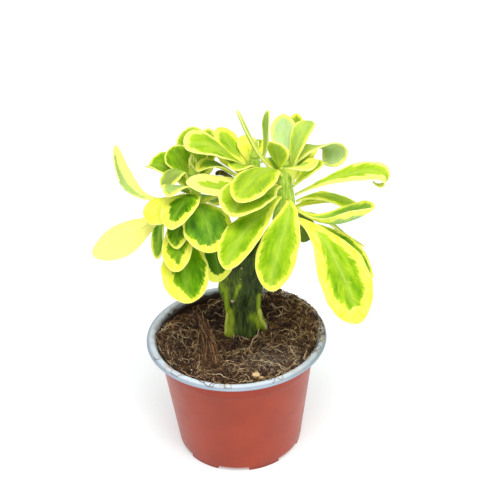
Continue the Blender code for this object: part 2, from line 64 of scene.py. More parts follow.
# The pot's section from the middle of its floor, up inside, over the lip and down outside: radius,
# height, and how far the corner is rounded off
POT_SECTION = [
    (0.0, FLOOR_TOP, 0),
    (BASE_RADIUS - WALL - 0.8, FLOOR_TOP, 0.5),
    (BASE_RADIUS - WALL + 0.2, FLOOR_TOP + 0.9, 0.5),
    (STEP_RADIUS - WALL, STEP_HEIGHT, 0.4),
    (COLLAR_RADII[0] - WALL, STEP_HEIGHT + 0.8, 0.4),
    (COLLAR_RADII[1] - WALL, POT_HEIGHT - MOUTH_DROP, 1.2),
    (MOUTH_RADIUS, POT_HEIGHT - 0.6, 0.6),
    (MOUTH_RADIUS + 0.9, POT_HEIGHT, 0.7),
    (CREST_RADIUS, POT_HEIGHT, 1.2),
    (RIM_RADIUS - 0.4, LIP_LOW + LIP_EDGE + 0.3, 0.3),
    (RIM_RADIUS, LIP_LOW + LIP_EDGE - 0.1, 0.3),
    (RIM_RADIUS, LIP_LOW + 0.2, 0.3),
    (RIM_RADIUS - 1.0, LIP_LOW, 0.3),
    (CREST_RADIUS - 0.2, POT_HEIGHT - 1.3, 0.5),
    (MOUTH_RADIUS + 1.1, POT_HEIGHT - 1.4, 0.5),
    (COLLAR_RADII[1], POT_HEIGHT - MOUTH_DROP, 0.5),
    (COLLAR_RADII[0], STEP_HEIGHT + 0.8, 0.3),
    (STEP_RADIUS, STEP_HEIGHT, 0.3),
    (BASE_RADIUS + 0.3, FLOOR_UNDERSIDE + 1.0, 0.7),
    (BASE_RADIUS - 0.6, FLOOR_UNDERSIDE, 0.7),
    (0.0, FLOOR_UNDERSIDE, 0),
]

# Soil, a plug of coir and peat with a plain hole for the stem
SOIL_LEVEL = 80.6
HOLE_CENTRE = (6.0, 10.5)
HOLE_FLOOR = 61.0
SOIL_SIDES = 240
CLEAR_OF_STEM = (14.5, 20.0)
LOOSE_EDGE = 53.0
HEAP_COMPASS = 34.0
# the heights between which the painted shade inside the pot's mouth ends
MOUTH_SHADE_EDGE = (81.6, 82.9)

# Stem: the trunk's height, middle x, middle y and radius between the ribs, from the bottom upwards
TRUNK_LINE = [
    (HOLE_FLOOR + GAP, 6, 10.5, 10),
    (70, 6, 10.5, 10.8),
    (80, 6, 10.5, 11.2),
    (88, 6, 10.3, 10.6),
    (98, 6.1, 9.6, 9.6),
    (108, 5.8, 8.6, 9.9),
    (118, 5.2, 7.4, 11.4),
    (127, 5.2, 6.4, 11.6),
    (136, 6, 5.6, 10.4),
    (144, 7, 5, 8.8),
    (150, 7.5, 4.8, 6.2),
]
TRUNK_TOP_RISE = 1.5
# ribs: angle at the soil, angle at the top, and how far they stand out at the soil, at the waist and at
# the shoulder, the second to the fourth of the heights
RIBS = [
    (-147, -163, 5.6, 4.6, 6.2),
    (-100, -86, 0.8, 1, 1.2),
    (-6, -22, 4.4, 0.9, 2.8),
    (58, 48, 2.6, 2, 2),
    (152, 130, 4.2, 2.6, 2.4),
]
RIB_HEIGHTS = (62, 80, 98, 119, 136, 150)
RIB_FOOT, RIB_NECK, RIB_END = 0.4, 1.0, 0.2
RIB_SPREAD = 17.0
SKIN_CUBE = 0.75

# scars and knobs on the trunk: place, radius, height
TRUNK_SCARS = [
    ((-1.3, -0.1, 110.4), 2.4, 1.1),
    ((5.1, -5.1, 138), 1.3, 0.6),
    ((4.3, -5.8, 130.2), 1.2, 0.6),
    ((19.8, 7.6, 83), 2.2, 0.9),
]
# leaf scars on each branch: how many, on which of its rings, and the sides of a ring
SCAR_COUNT = 26
SCAR_ROWS = (8, 43)
SCAR_SIDES = 24
# pale strokes on the trunk: how pale, half width, and the places that each runs through
TRUNK_STROKES = [
    (0.22, 1.6, [(5, -5.6, 137), (4.2, -5.6, 128)]),
    (0.6, 1.1, [(3.4, -5.4, 125), (1.2, -3.4, 118.5), (-0.6, -1, 112.5)]),
    (0.5, 1.5, [(-5.6, -1.2, 120), (-5.7, -0.2, 113), (-5.6, 1.4, 104), (-6.3, 3, 99)]),
    (1, 1.8, [(-6.4, 3, 98), (-7, 2.6, 91), (-7.6, 2.2, 86), (-9, 2.6, 80), (-10.2, 3, 76)]),
    (0.62, 2.3, [(-3.6, 0.8, 100), (-3, 0.4, 92), (-4.2, 0.6, 84), (-5, 0.6, 76)]),
    (0.6, 1.4, [(15.6, 3.6, 112), (15.2, 4.4, 102), (16, 5.6, 97)]),
    (1, 1.5, [(16.2, 6, 97), (17.5, 6.2, 89.5), (19.3, 7, 83), (20.6, 7.6, 79)]),
    (0.55, 2.2, [(12, 1.8, 96), (14.6, 4.4, 86)]),
    (0.4, 2.6, [(-9.2, 0.6, 124), (-7.4, -1, 119)]),
    (0.3, 2.2, [(-6.5, -1, 131), (-4, -2.5, 128)]),
    (0.45, 2.2, [(8, 21.5, 118), (9, 21, 98), (9.5, 23, 80)]),
    (0.55, 2, [(-6, 16.5, 104), (-6.5, 17.5, 90), (-8, 19, 79)]),
]

SHOOT_TIP_RADIUS = 3.2
SHOOT_TAPER = 0.13
LEAF_THICKNESS = 1.3
LEAF_SEAT = 0.35

# Each shoot: its growing end, the direction it grows in, the length that bears leaves, and where its
# branch leaves the trunk and bends
SHOOTS = {
    "right": dict(apex=(34, 2, 207), lean=(0, 0.06, 1), length=40, start=(8, 5, 126), bend=(12, 3, 146)),
    "middle": dict(apex=(16, 22, 203), lean=(0.08, 0.05, 1), length=32, start=(6, 7, 126),
                   bend=(7, 9, 146)),
    "left": dict(apex=(-23, 9, 199), lean=(0.02, 0.15, 1), length=36, start=(4, 6, 126),
                 bend=(0, 5, 146)),
}
BRANCH_RISE = 17.0
BRANCH_RADIUS = 9.4
GOLDEN_TURN = 137.5


def leaf(level, tip, rise, fall, width, look, **more):
    """One leaf: how far below the growing end it sits, where its tip is, the angles at which it leaves
    the stem and arrives at its tip, its width and its look.

    look is the width of the yellow margin, how far yellow breaks into the green, how dark the green is,
    how much wider the margin is on one side and how much at the tip. cup bends the blade across, twist
    turns it about its midrib, curl rolls its end under from curl_from onwards, reach stretches the
    curve, swing turns its start sideways, near rolls one edge up, and a higher taper keeps the foot
    narrow for longer. bloom is how much the upper and the lower face are whitened, partly by
    the leaf's wax and partly by a painted sheen that lightens faces turned from the light.
    """
    values = dict(cup=8, twist=0, curl=0, curl_from=0.8, reach=1.0, swing=0, near=0, taper=1.7)
    values.update(bloom=(0, 0.04), level=level, tip=tip, rise=rise, fall=fall, width=width, look=look)
    return {**values, **more}


LEAVES = {
    "right": [
        leaf(5, (5, -43, 207), 56, -35, 26, (1.5, 0.15, 0.45, 0, 0.5), cup=-12),
        leaf(5, (6, 0, 246), 45, 72, 12, (1, 0.2, 0.35, 0, 0), cup=25, bloom=(0.2, 0.3)),
        leaf(1, (28, -8, 228), 62, 70, 15, (0.8, 0.2, 0.55, 0, 0), cup=22, reach=0.8),
        leaf(5, (35, 31, 228), 75, 60, 17, (1.6, 0.1, 0.2, 0, 0.5), cup=25, bloom=(0.6, 0.3)),
        leaf(8, (52, 25, 225), 85, -20, 14, (1, 0.1, 0.28, 0, 0), reach=1.2, swing=-25, bloom=(0.15, 0.2)),
        leaf(9, (-26, -15, 206), -14, 22, 23, (7, 0.9, 0.05, -0.2, 1), cup=16, twist=10, swing=-5),
        leaf(10, (60, 21, 197), 80, -150, 24, (1.6, 0.2, 0.1, 0, 0), cup=10, reach=2.4, swing=36,
             twist=22, bloom=(0.1, 0.65)),
        leaf(12, (0, -38, 195), 12, -42, 35, (1.5, 0.25, 0.14, 0, 0.5), cup=14),
        leaf(11, (48, -18, 213), 84, -4, 21, (4.4, 0.4, 0.22, 0, 3), cup=14, reach=1.3, swing=22,
             taper=2.6, bloom=(0.1, 0.4)),
        leaf(16, (59, 14, 202), 35, 5, 13, (1.5, 0.1, 0.5, 0, 0), cup=20),
        leaf(17, (44, 40, 224), 46, 70, 16, (1, 0.2, 0.7, 0, 0), cup=10),
        leaf(19, (-4, -57, 170), -5, -50, 24, (1.9, 0.3, 0.3, -0.55, 0.4), cup=10),
        leaf(20, (102, -9, 192), 31, -85, 17, (2.6, 0.6, 0.12, 0.5, 2.5), cup=12, twist=-14, curl=160,
             curl_from=0.74, reach=1.05),
        leaf(21, (50, 58, 188), 35, -40, 24, (3, 0.3, 0.5, 0, 1)),
        leaf(24, (34, 60, 180), 25, -50, 24, (3.2, 0.35, 0.55, 0, 1)),
        leaf(21, (22, -50, 149), 18, -82, 25, (1.8, 0.45, 0.28, -0.1, 1.2), cup=10, swing=25),
        leaf(26, (83, 12, 170), 22, -28, 15, (1.6, 0.4, 0.25, 0, 0.5), cup=-15, twist=-8),
        leaf(29, (87, -22, 188), -33, 40, 29, (2, 0.3, 0.5, 0.3, 1), cup=30, near=75, taper=2.6,
             bloom=(0.1, 0.4)),
        leaf(32, (84, 42, 152), 0, -45, 24, (3.2, 0.35, 0.5, 0.2, 1)),
        leaf(34, (87, 22, 134), -16, -34, 15, (1.4, 0.2, 0.5, 0, 0.5), cup=10),
        leaf(34, (77, -47, 121), 8, -62, 39, (5.5, 0.9, 0.34, 0.15, 4), twist=-4, taper=2.2),
        leaf(37, (27, -20, 145), 0, -85, 16, (1.5, 0.2, 0.5, 0, 0.5), cup=10),
        leaf(38, (89, -10, 130), -20, -60, 24, (2.4, 0.5, 0.6, 0, 1), cup=14),
        leaf(38, (47, 34, 132), 0, -80, 20, (0.3, 0.1, 1.4, 0, 0), cup=0),
    ],
    "middle": [
        leaf(4, (26, 24, 234), 65, 80, 15, (0.8, 0.1, 0.35, 0, 0), cup=20, bloom=(0.2, 0.2)),
        leaf(6, (-26, 2, 221), 38, -15, 31, (2.2, 0.4, 0.14, 0.35, 0.5), cup=10, twist=10),
        leaf(8, (10, 38, 211), 60, 20, 13, (6, 0.6, 0.4, 0, 1), cup=10),
        leaf(9, (-7, 38, 217), 50, 50, 19, (3, 0.3, 0.22, 0, 0.5), cup=10),
        leaf(9, (4, -5, 208), 42, -20, 17, (1, 0.1, 0.4, 0, 0), cup=10),
        leaf(14, (-20, 2, 205), 28, -36, 15, (1.6, 0.4, 0.4, 0, 1), cup=28),
        leaf(14, (14, 72, 188), 30, -50, 24, (3.2, 0.3, 0.5, 0.2, 1)),
        leaf(20, (-1, 58, 188), 30, -45, 24, (2.8, 0.4, 0.6, 0, 1)),
        leaf(24, (32, 68, 158), 10, -60, 24, (3.4, 0.4, 0.55, -0.2, 1)),
    ],
    "left": [
        leaf(2, (-41, -7, 199), 80, -48, 14, (1, 0.2, 0.92, 0, 0), cup=0, reach=1.6, bloom=(0.12, 0.1)),
        leaf(3, (-35, 20, 214), 60, 60, 22, (0.4, 0.05, 0.68, 0, 0), cup=10),
        leaf(8, (-51, 20, 201), 43, -26, 26, (1, 0.3, 0.45, -0.5, 0.2), cup=45),
        leaf(9, (-22, 39, 218), 65, 50, 22, (0.5, 0.1, 0.45, 0, 0), cup=12),
        leaf(9, (-36, -35, 208), 18, -34, 15, (1, 0.2, 0.8, 0, 0.3), cup=0, bloom=(0.26, 0.2)),
        leaf(11, (-36, -42, 190), 30, -48, 21, (2.6, 0.7, 0.8, 0.35, 2.5), cup=10, swing=18),
        leaf(13, (-12, 46, 213), 55, 50, 18, (1, 0.1, 0.4, 0, 0.3), cup=12),
        leaf(14, (-50, -17, 180), 18, -50, 25, (30, 0.1, 0.3, 0, 0), cup=0),
        leaf(14, (-41, 50, 185), 35, -40, 24, (3.4, 0.4, 0.5, 0.2, 1)),
        leaf(17, (-12, -37, 170), 32, -74, 31, (1.8, 0.45, 0.72, -0.5, 3), bloom=(0.03, 0.06)),
        leaf(12, (-69, 4, 224), -22, 95, 15, (5, 0.9, 0.06, 0.9, 1), cup=40, twist=30, reach=1.35,
             taper=4.5, bloom=(0.42, 0.42)),
        leaf(17, (-34, -31, 170), 0, -75, 15, (1.6, 0.3, 0.85, -0.5, 0), cup=15),
        leaf(16, (-89, -4, 152), -32, -16, 24, (30, 0.1, 0, 0, 0), twist=30, taper=4),
        leaf(20, (-22, 62, 172), 25, -60, 24, (3, 0.3, 0.5, -0.2, 1)),
        leaf(25, (-10, 50, 154), 10, -60, 24, (3.2, 0.4, 0.55, 0, 1)),
        leaf(21, (-35, -35, 156), 5, -75, 20, (3.4, 0.6, 0.6, 0, 1.5), cup=25),
        leaf(23, (-51, 15, 136), 0, -75, 20, (1.7, 0.3, 0.62, 0.3, 0.5), cup=10, twist=45),
        leaf(26, (-29, -37, 134), -35, -72, 30, (3.4, 0.6, 0.7, 0.75, 1.5), cup=12, swing=-14),
        leaf(28, (-40, 42, 145), 0, -70, 26, (2.6, 0.4, 0.6, 0, 1)),
        leaf(31, (-9, -20, 138), 12, -80, 24, (2.6, 0.5, 1.25, 0.3, 2), cup=10),
    ],
}

YOUNG_LEAVES = {"right": 6, "middle": 4, "left": 4}
# a withered leaf on the middle shoot, and how far its foot is sunk into the stem
WITHERED_LEAF = leaf(20, (-10, 16, 195), 20, -4, 10, (0.4, 0, 0.5, 0, 0), cup=50, twist=-14, taper=1.2)
WITHERED_SINK = (1.2, 0.2, 0.0)

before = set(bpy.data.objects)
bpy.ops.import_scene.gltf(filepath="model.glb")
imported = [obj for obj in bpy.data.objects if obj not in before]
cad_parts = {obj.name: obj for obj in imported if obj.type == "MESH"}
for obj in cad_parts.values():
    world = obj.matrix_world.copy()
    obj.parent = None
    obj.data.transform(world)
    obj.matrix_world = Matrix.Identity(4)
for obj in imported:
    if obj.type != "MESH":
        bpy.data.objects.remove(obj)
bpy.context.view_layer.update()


# Curves and rings


def unit(vectors):
    """The same directions at length one, along the last axis."""
    vectors = np.asarray(vectors, float)
    return vectors / np.maximum(np.linalg.norm(vectors, axis=-1, keepdims=True), 1e-12)


def smooth(low, high, values):
    """A smooth climb from 0 at low to 1 at high: 3t^2 - 2t^3 of the clipped share t."""
    t = np.clip((values - low) / (high - low), 0, 1)
    return t * t * (3 - 2 * t)


def bell(gap, width):
    """A bell curve of a gap: exp(-(gap / width)^2)."""
    return np.exp(-((gap / width) ** 2))


def wave_noise(points, wavelength, seed, octaves=3):
    """Soft noise between about -1 and 1: a sum of sines along random directions. Each octave has half
    the strength and half the wavelength of the last."""
    random = np.random.default_rng(seed)
    total = np.zeros(points.shape[:-1])
    for octave in range(octaves):
        for direction in unit(random.normal(size=(5, points.shape[-1]))):
            phase = random.uniform(0, 2 * np.pi)
            turn = points @ direction * 2 * np.pi / wavelength * 2**octave + phase
            total += 0.4 * 0.5**octave * np.sin(turn)
    return total


def cubic(corners, t):
    """Points at the shares t of a cubic curve with four corners."""
    t = t[:, None]
    weights = (1 - t) ** 3, 3 * (1 - t) ** 2 * t, 3 * (1 - t) * t**2, t**3
    return sum(w * np.array(c, float) for w, c in zip(weights, corners))


def summed(steps):
    """Running totals that start at zero."""
    return np.concatenate([0 * steps[:1], np.cumsum(steps, axis=0)])


def read_off(places, run, rows):
    """Each column of some rows, read off at places along their run."""
    return np.stack([np.interp(places, run, column) for column in rows.T], 1)


def polar(reach, angle):
    """Level places at a distance and an angle."""
    return np.stack([reach * np.cos(angle), reach * np.sin(angle)], -1)


def circle(sides):
    """Even places round a circle of radius one."""
    return polar(1.0, 2 * np.pi * np.arange(sides) / sides)


def spokes(along, sides, axis=(0, 1, 0), hand=1):
    """Even directions round each line, square to it. The first is square to the axis too, and a hand of
    -1 goes round the other way."""
    side = unit(np.cross(along, axis))
    other = hand * np.cross(along, side)
    across, up = circle(sides).T[..., None]
    return across * side[..., None, :] + up * other[..., None, :]


def aim(compass, rise):
    """The direction at a compass angle and at an angle above level."""
    return np.append(math.cos(rise) * polar(1.0, compass), math.sin(rise))


# Meshes


def read(items, key, kind=np.float32):
    """Three numbers of each item, as rows of an array."""
    values = np.empty(len(items) * 3, kind)
    items.foreach_get(key, values)
    return values.reshape(-1, 3)


def points_of(mesh):
    """A mesh's points in millimetres."""
    return read(mesh.vertices, "co").astype(float) / MM


def set_points(mesh, points):
    mesh.vertices.foreach_set("co", (points * MM).astype(np.float32).ravel())
    mesh.update()


def make_mesh(name, points, *face_sets):
    """A mesh of points in millimetres and arrays of faces with the same number of corners each."""
    mesh = bpy.data.meshes.new(name)
    points = np.reshape(points, (-1, 3))
    mesh.vertices.add(len(points))
    set_points(mesh, points)
    corners = np.concatenate([np.ravel(faces) for faces in face_sets])
    mesh.loops.add(len(corners))
    mesh.loops.foreach_set("vertex_index", corners.astype(np.int32))
    sizes = np.concatenate([np.full(len(faces), np.shape(faces)[1]) for faces in face_sets])
    mesh.polygons.add(len(sizes))
    mesh.polygons.foreach_set("loop_start", (np.cumsum(sizes) - sizes).astype(np.int32))
    mesh.update(calc_edges=True)
    mesh.validate()
    return mesh


def right_side_out(mesh):
    """Turns a closed mesh's faces outwards, by the sign of the volume that they enclose."""
    mesh.calc_loop_triangles()
    a, b, c = points_of(mesh)[read(mesh.loop_triangles, "vertices", np.int32)].transpose(1, 0, 2)
    if (a * np.cross(b, c)).sum() < 0:
        mesh.flip_normals()
    return mesh


def tube_grid(rings, sides):
    """Quads of a tube with rings of points one after another, each ring closed."""
    a = np.arange((rings - 1) * sides)
    b = a - a % sides + (a + 1) % sides
    return np.stack([a, b, b + sides, a + sides], 1)


def fan(ring, middle):
    """Triangles from a ring of points to a middle point."""
    return np.stack([ring, np.roll(ring, -1), np.full(len(ring), middle)], 1)


def tube_mesh(name, rings, first_middle, last_middle):
    """A closed tube of rings of points, with a middle point in each end."""
    rows, sides = rings.shape[:2]
    count = rows * sides
    ends = fan(np.arange(sides)[::-1], count), fan(np.arange(count - sides, count), count + 1)
    points = np.concatenate([rings.reshape(-1, 3), [first_middle, last_middle]])
    return right_side_out(make_mesh(name, points, tube_grid(rows, sides), np.concatenate(ends)))


def joined(name, meshes):
    """One mesh of several."""
    work = bmesh.new()
    for mesh in meshes:
        work.from_mesh(mesh)
    made = bpy.data.meshes.new(name)
    work.to_mesh(made)
    work.free()
    return made


def settled(holder):
    """The mesh that an object's modifiers make."""
    graph = bpy.context.evaluated_depsgraph_get()
    return bpy.data.meshes.new_from_object(holder.evaluated_get(graph))


def store(mesh, name, values):
    """Keeps a number for each point, or three rows of them, for the materials to read."""
    values = np.asarray(values, np.float32)
    kind, key = ("FLOAT", "value") if values.ndim == 1 else ("FLOAT_VECTOR", "vector")
    mesh.attributes.new(name, kind, "POINT").data.foreach_set(key, values.T.ravel())


def add_object(name, data):
    """A new object in the scene."""
    made = bpy.data.objects.new(name, data)
    bpy.context.scene.collection.objects.link(made)
    return made


def add_piece(name, mesh, materials, slot_name, *nodes):
    """Puts a finished mesh into the scene as a piece of the part that stands for some of its nodes."""
    right_side_out(mesh)
    for material in materials:
        mesh.materials.append(material)
    mesh.shade_smooth()
    piece = add_object(name, mesh)
    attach(piece, "root")
    if nodes:
        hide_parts(*nodes)


# Materials


class Signal:
    """A value in a shader tree. Sums, differences and products with it add nodes to the tree."""

    def __init__(self, tree, socket):
        self.tree = tree
        self.socket = socket

    def __add__(self, other):
        return self.tree.math("ADD", self, other)

    def __sub__(self, other):
        return self.tree.math("SUBTRACT", self, other)

    def __rsub__(self, other):
        return self.tree.math("SUBTRACT", other, self)

    def __mul__(self, other):
        return self.tree.math("MULTIPLY", self, other)

    def __abs__(self):
        return self.tree.math("ABSOLUTE", self)

    def climb(self, low, high, start=0.0, end=1.0):
        """A smooth climb from start to end as the value goes from low to high."""
        inputs = {"Value": self, "From Min": low, "From Max": high, "To Min": start, "To Max": end}
        return self.tree.add("ShaderNodeMapRange", inputs, "Result", interpolation_type="SMOOTHSTEP")

    def noise(self, scale, detail=3.0, rough=0.55, distort=0.0):
        """Noise at the place that this signal gives."""
        inputs = {"Vector": self, "Scale": scale, "Detail": detail, "Roughness": rough}
        inputs["Distortion"] = distort
        return self.tree.add("ShaderNodeTexNoise", inputs, "Fac")


class Tree:
    """Short ways to add nodes to a shader tree and to join them."""

    def __init__(self, tree, material=None):
        self.tree = tree
        self.material = material

    def node(self, kind, inputs=(), **settings):
        made = self.tree.nodes.new(kind)
        for key, value in settings.items():
            setattr(made, key, value)
        for key, value in dict(inputs).items():
            self.feed(made.inputs[key], value)
        return made

    def add(self, kind, inputs=(), output=0, **settings):
        """One output of a new node."""
        return Signal(self, self.node(kind, inputs, **settings).outputs[output])

    def feed(self, socket, value):
        """Links a signal to a socket, or sets the socket to a plain value."""
        if isinstance(value, Signal):
            self.tree.links.new(value.socket, socket)
        elif socket.type == "RGBA":
            socket.default_value = (*value, 1.0)
        else:
            socket.default_value = value

    def paint(self, **values):
        """Feeds the material's Principled BSDF, by socket name, and returns the material."""
        shader = self.tree.nodes["Principled BSDF"]
        for key, value in values.items():
            self.feed(shader.inputs[key.replace("_", " ")], value)
        return self.material

    def math(self, operation, *values):
        return self.add("ShaderNodeMath", enumerate(values), operation=operation)

    def mix(self, share, first, second, blend="MIX"):
        inputs = {0: share, 6: first, 7: second}
        return self.add("ShaderNodeMix", inputs, 2, data_type="RGBA", blend_type=blend)

    def ramp(self, value, first, last, between):
        """Colours along a value: the first at 0, the last at 1 and others at their places between."""
        made = self.node("ShaderNodeValToRGB", {0: value})
        stops = made.color_ramp.elements
        stops[0].color, stops[1].color = (*first, 1), (*last, 1)
        for position, colour in between.items():
            stops.new(position).color = (*colour, 1)
        return Signal(self, made.outputs["Color"])

    def parts(self, vector):
        outputs = self.node("ShaderNodeSeparateXYZ", {0: vector}).outputs
        return [Signal(self, output) for output in outputs]

    def joined(self, *parts):
        return self.add("ShaderNodeCombineXYZ", enumerate(parts))

    def kept(self, name, output="Fac"):
        """A value that the mesh keeps for each point."""
        return self.add("ShaderNodeAttribute", output=output, attribute_name=name)

    def kept_parts(self, name):
        return self.parts(self.kept(name, "Vector"))

    def place(self):
        """The point on the piece, in metres."""
        return self.add("ShaderNodeTexCoord", output="Object")

    def bump(self, height, distance, strength=1.0):
        inputs = {"Height": height, "Distance": distance, "Strength": strength}
        return self.add("ShaderNodeBump", inputs, "Normal")


def new_material(name, **values):
    """The tree of a new material whose Principled BSDF has some plain values."""
    material = bpy.data.materials.new(name)
    material.use_nodes = True
    tree = Tree(material.node_tree, material)
    tree.paint(**values)
    return tree


def new_group(name, output, kind, **inputs):
    """A shader node group with one output. Its inputs start at a number, or are vectors where that is
    None."""
    group = bpy.data.node_groups.new(name, "ShaderNodeTree")
    for key, start in inputs.items():
        socket_type = "NodeSocketVector" if start is None else "NodeSocketFloat"
        socket = group.interface.new_socket(key, in_out="INPUT", socket_type=socket_type)
        if start is not None:
            socket.default_value = start
    group.interface.new_socket(output, in_out="OUTPUT", socket_type=kind)
    tree = Tree(group)
    given = tree.node("NodeGroupInput").outputs
    return group, tree, [Signal(tree, given[key]) for key in inputs], tree.node("NodeGroupOutput").inputs[0]


def speckle_group():
    """Fine dirt: a mask of small soft spots that come in clouds."""
    group, tree, (place, scale, amount), result = new_group(
        "Speckle", "Mask", "NodeSocketFloat", Place=None, Scale=900.0, Amount=0.3)
    edge = 0.78 - amount * 0.3
    spots = place.noise(scale, 2.0, 0.6).climb(edge, edge + 0.08)
    clouds = place.noise(scale * 0.12, 3.0, 0.6).climb(0.4, 0.62)
    tree.feed(result, spots * clouds)
    return group


def green_group():
    """The greens of this plant's tissue, from light to dark, in streaks along the growth."""
    group, tree, (streaks, dark, spread), result = new_group(
        "Green tissue", "Color", "NodeSocketColor", Streaks=None, Dark=0.5, Spread=0.5)
    shift = (streaks.noise(1.0) - 0.5) * (spread * 3.0)
    greens = {0.3: (0.25, 0.44, 0.009), 0.55: (0.150, 0.340, 0.005), 0.8: (0.078, 0.230, 0.003)}
    tree.feed(result, tree.ramp(dark + shift, (0.39, 0.57, 0.022), (0.03, 0.115, 0.002), greens))
    return group


def leaf_material(name, green):
    """Variegated leaf: a dark middle, a lighter zone and a ragged yellow margin, whose edges follow the
    side veins, a painted highlight along the very edge of the margin, a pale midrib with a broad band of
    painted sheen beside it, faint side veins, and a whitening that is partly wax and partly painted sheen.

    The mesh keeps blade (millimetres across, along and in from the margin), nature (margin width, how
    far yellow breaks in, darkness) and leaf (seed, wax and painted sheen, share of the length).
    """
    tree = new_material(name, Specular_IOR_Level=0.02, Subsurface_Weight=0.08,
                        Subsurface_Radius=(0.9, 1.0, 0.2), Subsurface_Scale=0.001)
    across, along, inset = tree.kept_parts("blade")
    margin, breaks, dark = tree.kept_parts("nature")
    seed, bloom, share = tree.kept_parts("leaf")
    away = abs(across)
    start = seed * 370.0
    side = tree.math("SIGN", across) * 7.0
    vein = along - away * 1.1 + start
    by_vein = tree.joined(away * 0.3, vein, side)
    fine = by_vein.noise(0.9, 3.0, 0.65)
    broad = by_vein.noise(0.17, 2.0)
    other = by_vein.noise(0.42, 3.0, 0.6, 0.3)
    ragged = ((fine - 0.5) * 3.0 + (broad - 0.5) * 8.0) * (breaks * 1.1 + 0.2)
    depth = inset + ragged - margin
    flecks = other.climb(0.8 - breaks * 0.24, 0.74)
    inner = depth.climb(-0.45, 0.75) * (1.0 - flecks * breaks)
    deep = (depth + (other - 0.62) * 9.0).climb(-0.8, 1.6)

    streaks = tree.joined(across * 0.2, along * 0.07 + start, side)
    shade = (1.0 - deep) * -0.3 + dark - share.climb(0.08, 0.6, 0.34, 0.0) + (fine - 0.5) * 0.35
    body = tree.add("ShaderNodeGroup", {"Streaks": streaks, "Dark": shade, "Spread": 0.5}, node_tree=green)
    uneven = streaks.noise(2.0, 2.0).climb(0.35, 0.7)
    yellow = tree.mix(uneven, (0.84, 0.85, 0.06), (0.88, 0.88, 0.15))
    yellow = tree.mix(dark.climb(0.02, 0.25), (0.96, 0.92, 0.24), yellow)
    # painted highlight: a pale yellow line along the outermost 0.15 to 0.75 mm of the margin
    yellow = tree.mix(inset.climb(0.15, 0.75, 0.6, 0.0), yellow, (0.95, 0.95, 0.36))
    colour = tree.mix(inner, yellow, body)

    # painted sheen: a broad pale band beside the midrib, fading out by 4.5 mm from it
    midrib_sheen = away.climb(0.4, 4.5, 0.34, 0.0) * dark.climb(0.3, 0.7, 1.0, 0.35)
    colour = tree.mix(midrib_sheen * inner, colour, (0.46, 0.62, 0.08))
    width = share.climb(0.0, 1.0, 0.8, 0.2)
    rib = away.climb(width * 0.3, width, 1.0, 0.0) * share.climb(0.55, 1.0, 0.5, 0.15)
    colour = tree.mix(rib * dark.climb(0.3, 0.7, 1.0, 0.5), colour, (0.48, 0.66, 0.10))
    veins = tree.math("POWER", abs(tree.math("SINE", vein * 1.7 + broad * 5.0)), 12.0)
    colour = tree.mix(veins * 0.12, colour, (0.40, 0.58, 0.05))
    # wax and painted sheen: whitens the green, partly the leaf's wax, partly painted light on faces in shade
    wax_and_sheen = bloom * streaks.noise(1.4).climb(0.25, 0.6, 0.6, 1.0) * inner.climb(0.0, 1.0, 0.35, 1.0)
    colour = tree.mix(wax_and_sheen, colour, (0.52, 0.68, 0.42))

    place = tree.place()
    height = veins * -0.5 + place.noise(2600.0, 2.0) * 0.3 + broad * 3.0
    rough = place.noise(160.0).climb(0.3, 0.75, 0.38, 0.55) + bloom * 0.2
    return tree.paint(Base_Color=colour, Roughness=rough, Normal=tree.bump(height, 0.00014, 0.8))


def withered_material():
    """Dead leaf: dull brown with olive patches, wrinkled along its length."""
    tree = new_material("withered_leaf", Roughness=0.7, Specular_IOR_Level=0.15)
    place = tree.place()
    colour = tree.mix(place.noise(420.0).climb(0.35, 0.65), (0.045, 0.022, 0.003), (0.20, 0.17, 0.008))
    return tree.paint(Base_Color=colour, Normal=tree.bump(place.noise(1300.0), 0.0008))


def stem_material():
    """Green succulent skin: dark with fine upright streaks, darker still at the top of the trunk as painted
    shade under the leaves, lime patches where the mesh keeps pale, a straw colour at their heart, young
    light green above and tan corky scars."""
    tree = new_material("stem_skin", Specular_IOR_Level=0.12)
    place = tree.place()
    x, y, z = tree.parts(place)
    streaks = tree.joined(x * 950.0, y * 950.0, z * 110.0).noise(1.0, 5.0, 0.7)
    broad = tree.joined(x * 150.0, y * 150.0, z * 50.0)
    worn = tree.kept("pale") + (streaks - 0.5) * 0.7
    soft = streaks * 0.5 + broad.noise(0.8, 2.0) * 0.5
    night = tree.mix(soft.climb(0.35, 0.66), (0.004, 0.013, 0.004), (0.105, 0.150, 0.036))
    # painted shade: from 112 mm up the trunk's dark skin darkens further, under the leaves
    night = tree.mix(z.climb(0.112, 0.138, 0.0, 0.55), night, (0.008, 0.018, 0.003))
    lime = tree.mix(broad.noise(1.0), (0.16, 0.26, 0.010), (0.30, 0.40, 0.018))
    colour = tree.mix(worn.climb(0.0, 0.55), night, lime)
    colour = tree.mix(worn.climb(0.42, 1.0, 0.0, 0.95), colour, (0.58, 0.60, 0.12))
    young = tree.mix(streaks.climb(0.35, 0.65), (0.27, 0.48, 0.03), (0.57, 0.72, 0.13))
    colour = tree.mix(tree.kept("young"), colour, young)
    cork = tree.mix(place.noise(1300.0).climb(0.35, 0.65), (0.20, 0.10, 0.05), (0.74, 0.60, 0.38))
    scar = (tree.kept("scar") + (place.noise(1000.0) - 0.5) * 1.1).climb(0.45, 0.75)
    height = streaks + place.noise(900.0) * 0.5
    return tree.paint(Base_Color=tree.mix(scar, colour, cork), Normal=tree.bump(height, 0.0006, 0.8),
                      Roughness=streaks.climb(0.3, 0.7, 0.42, 0.62))


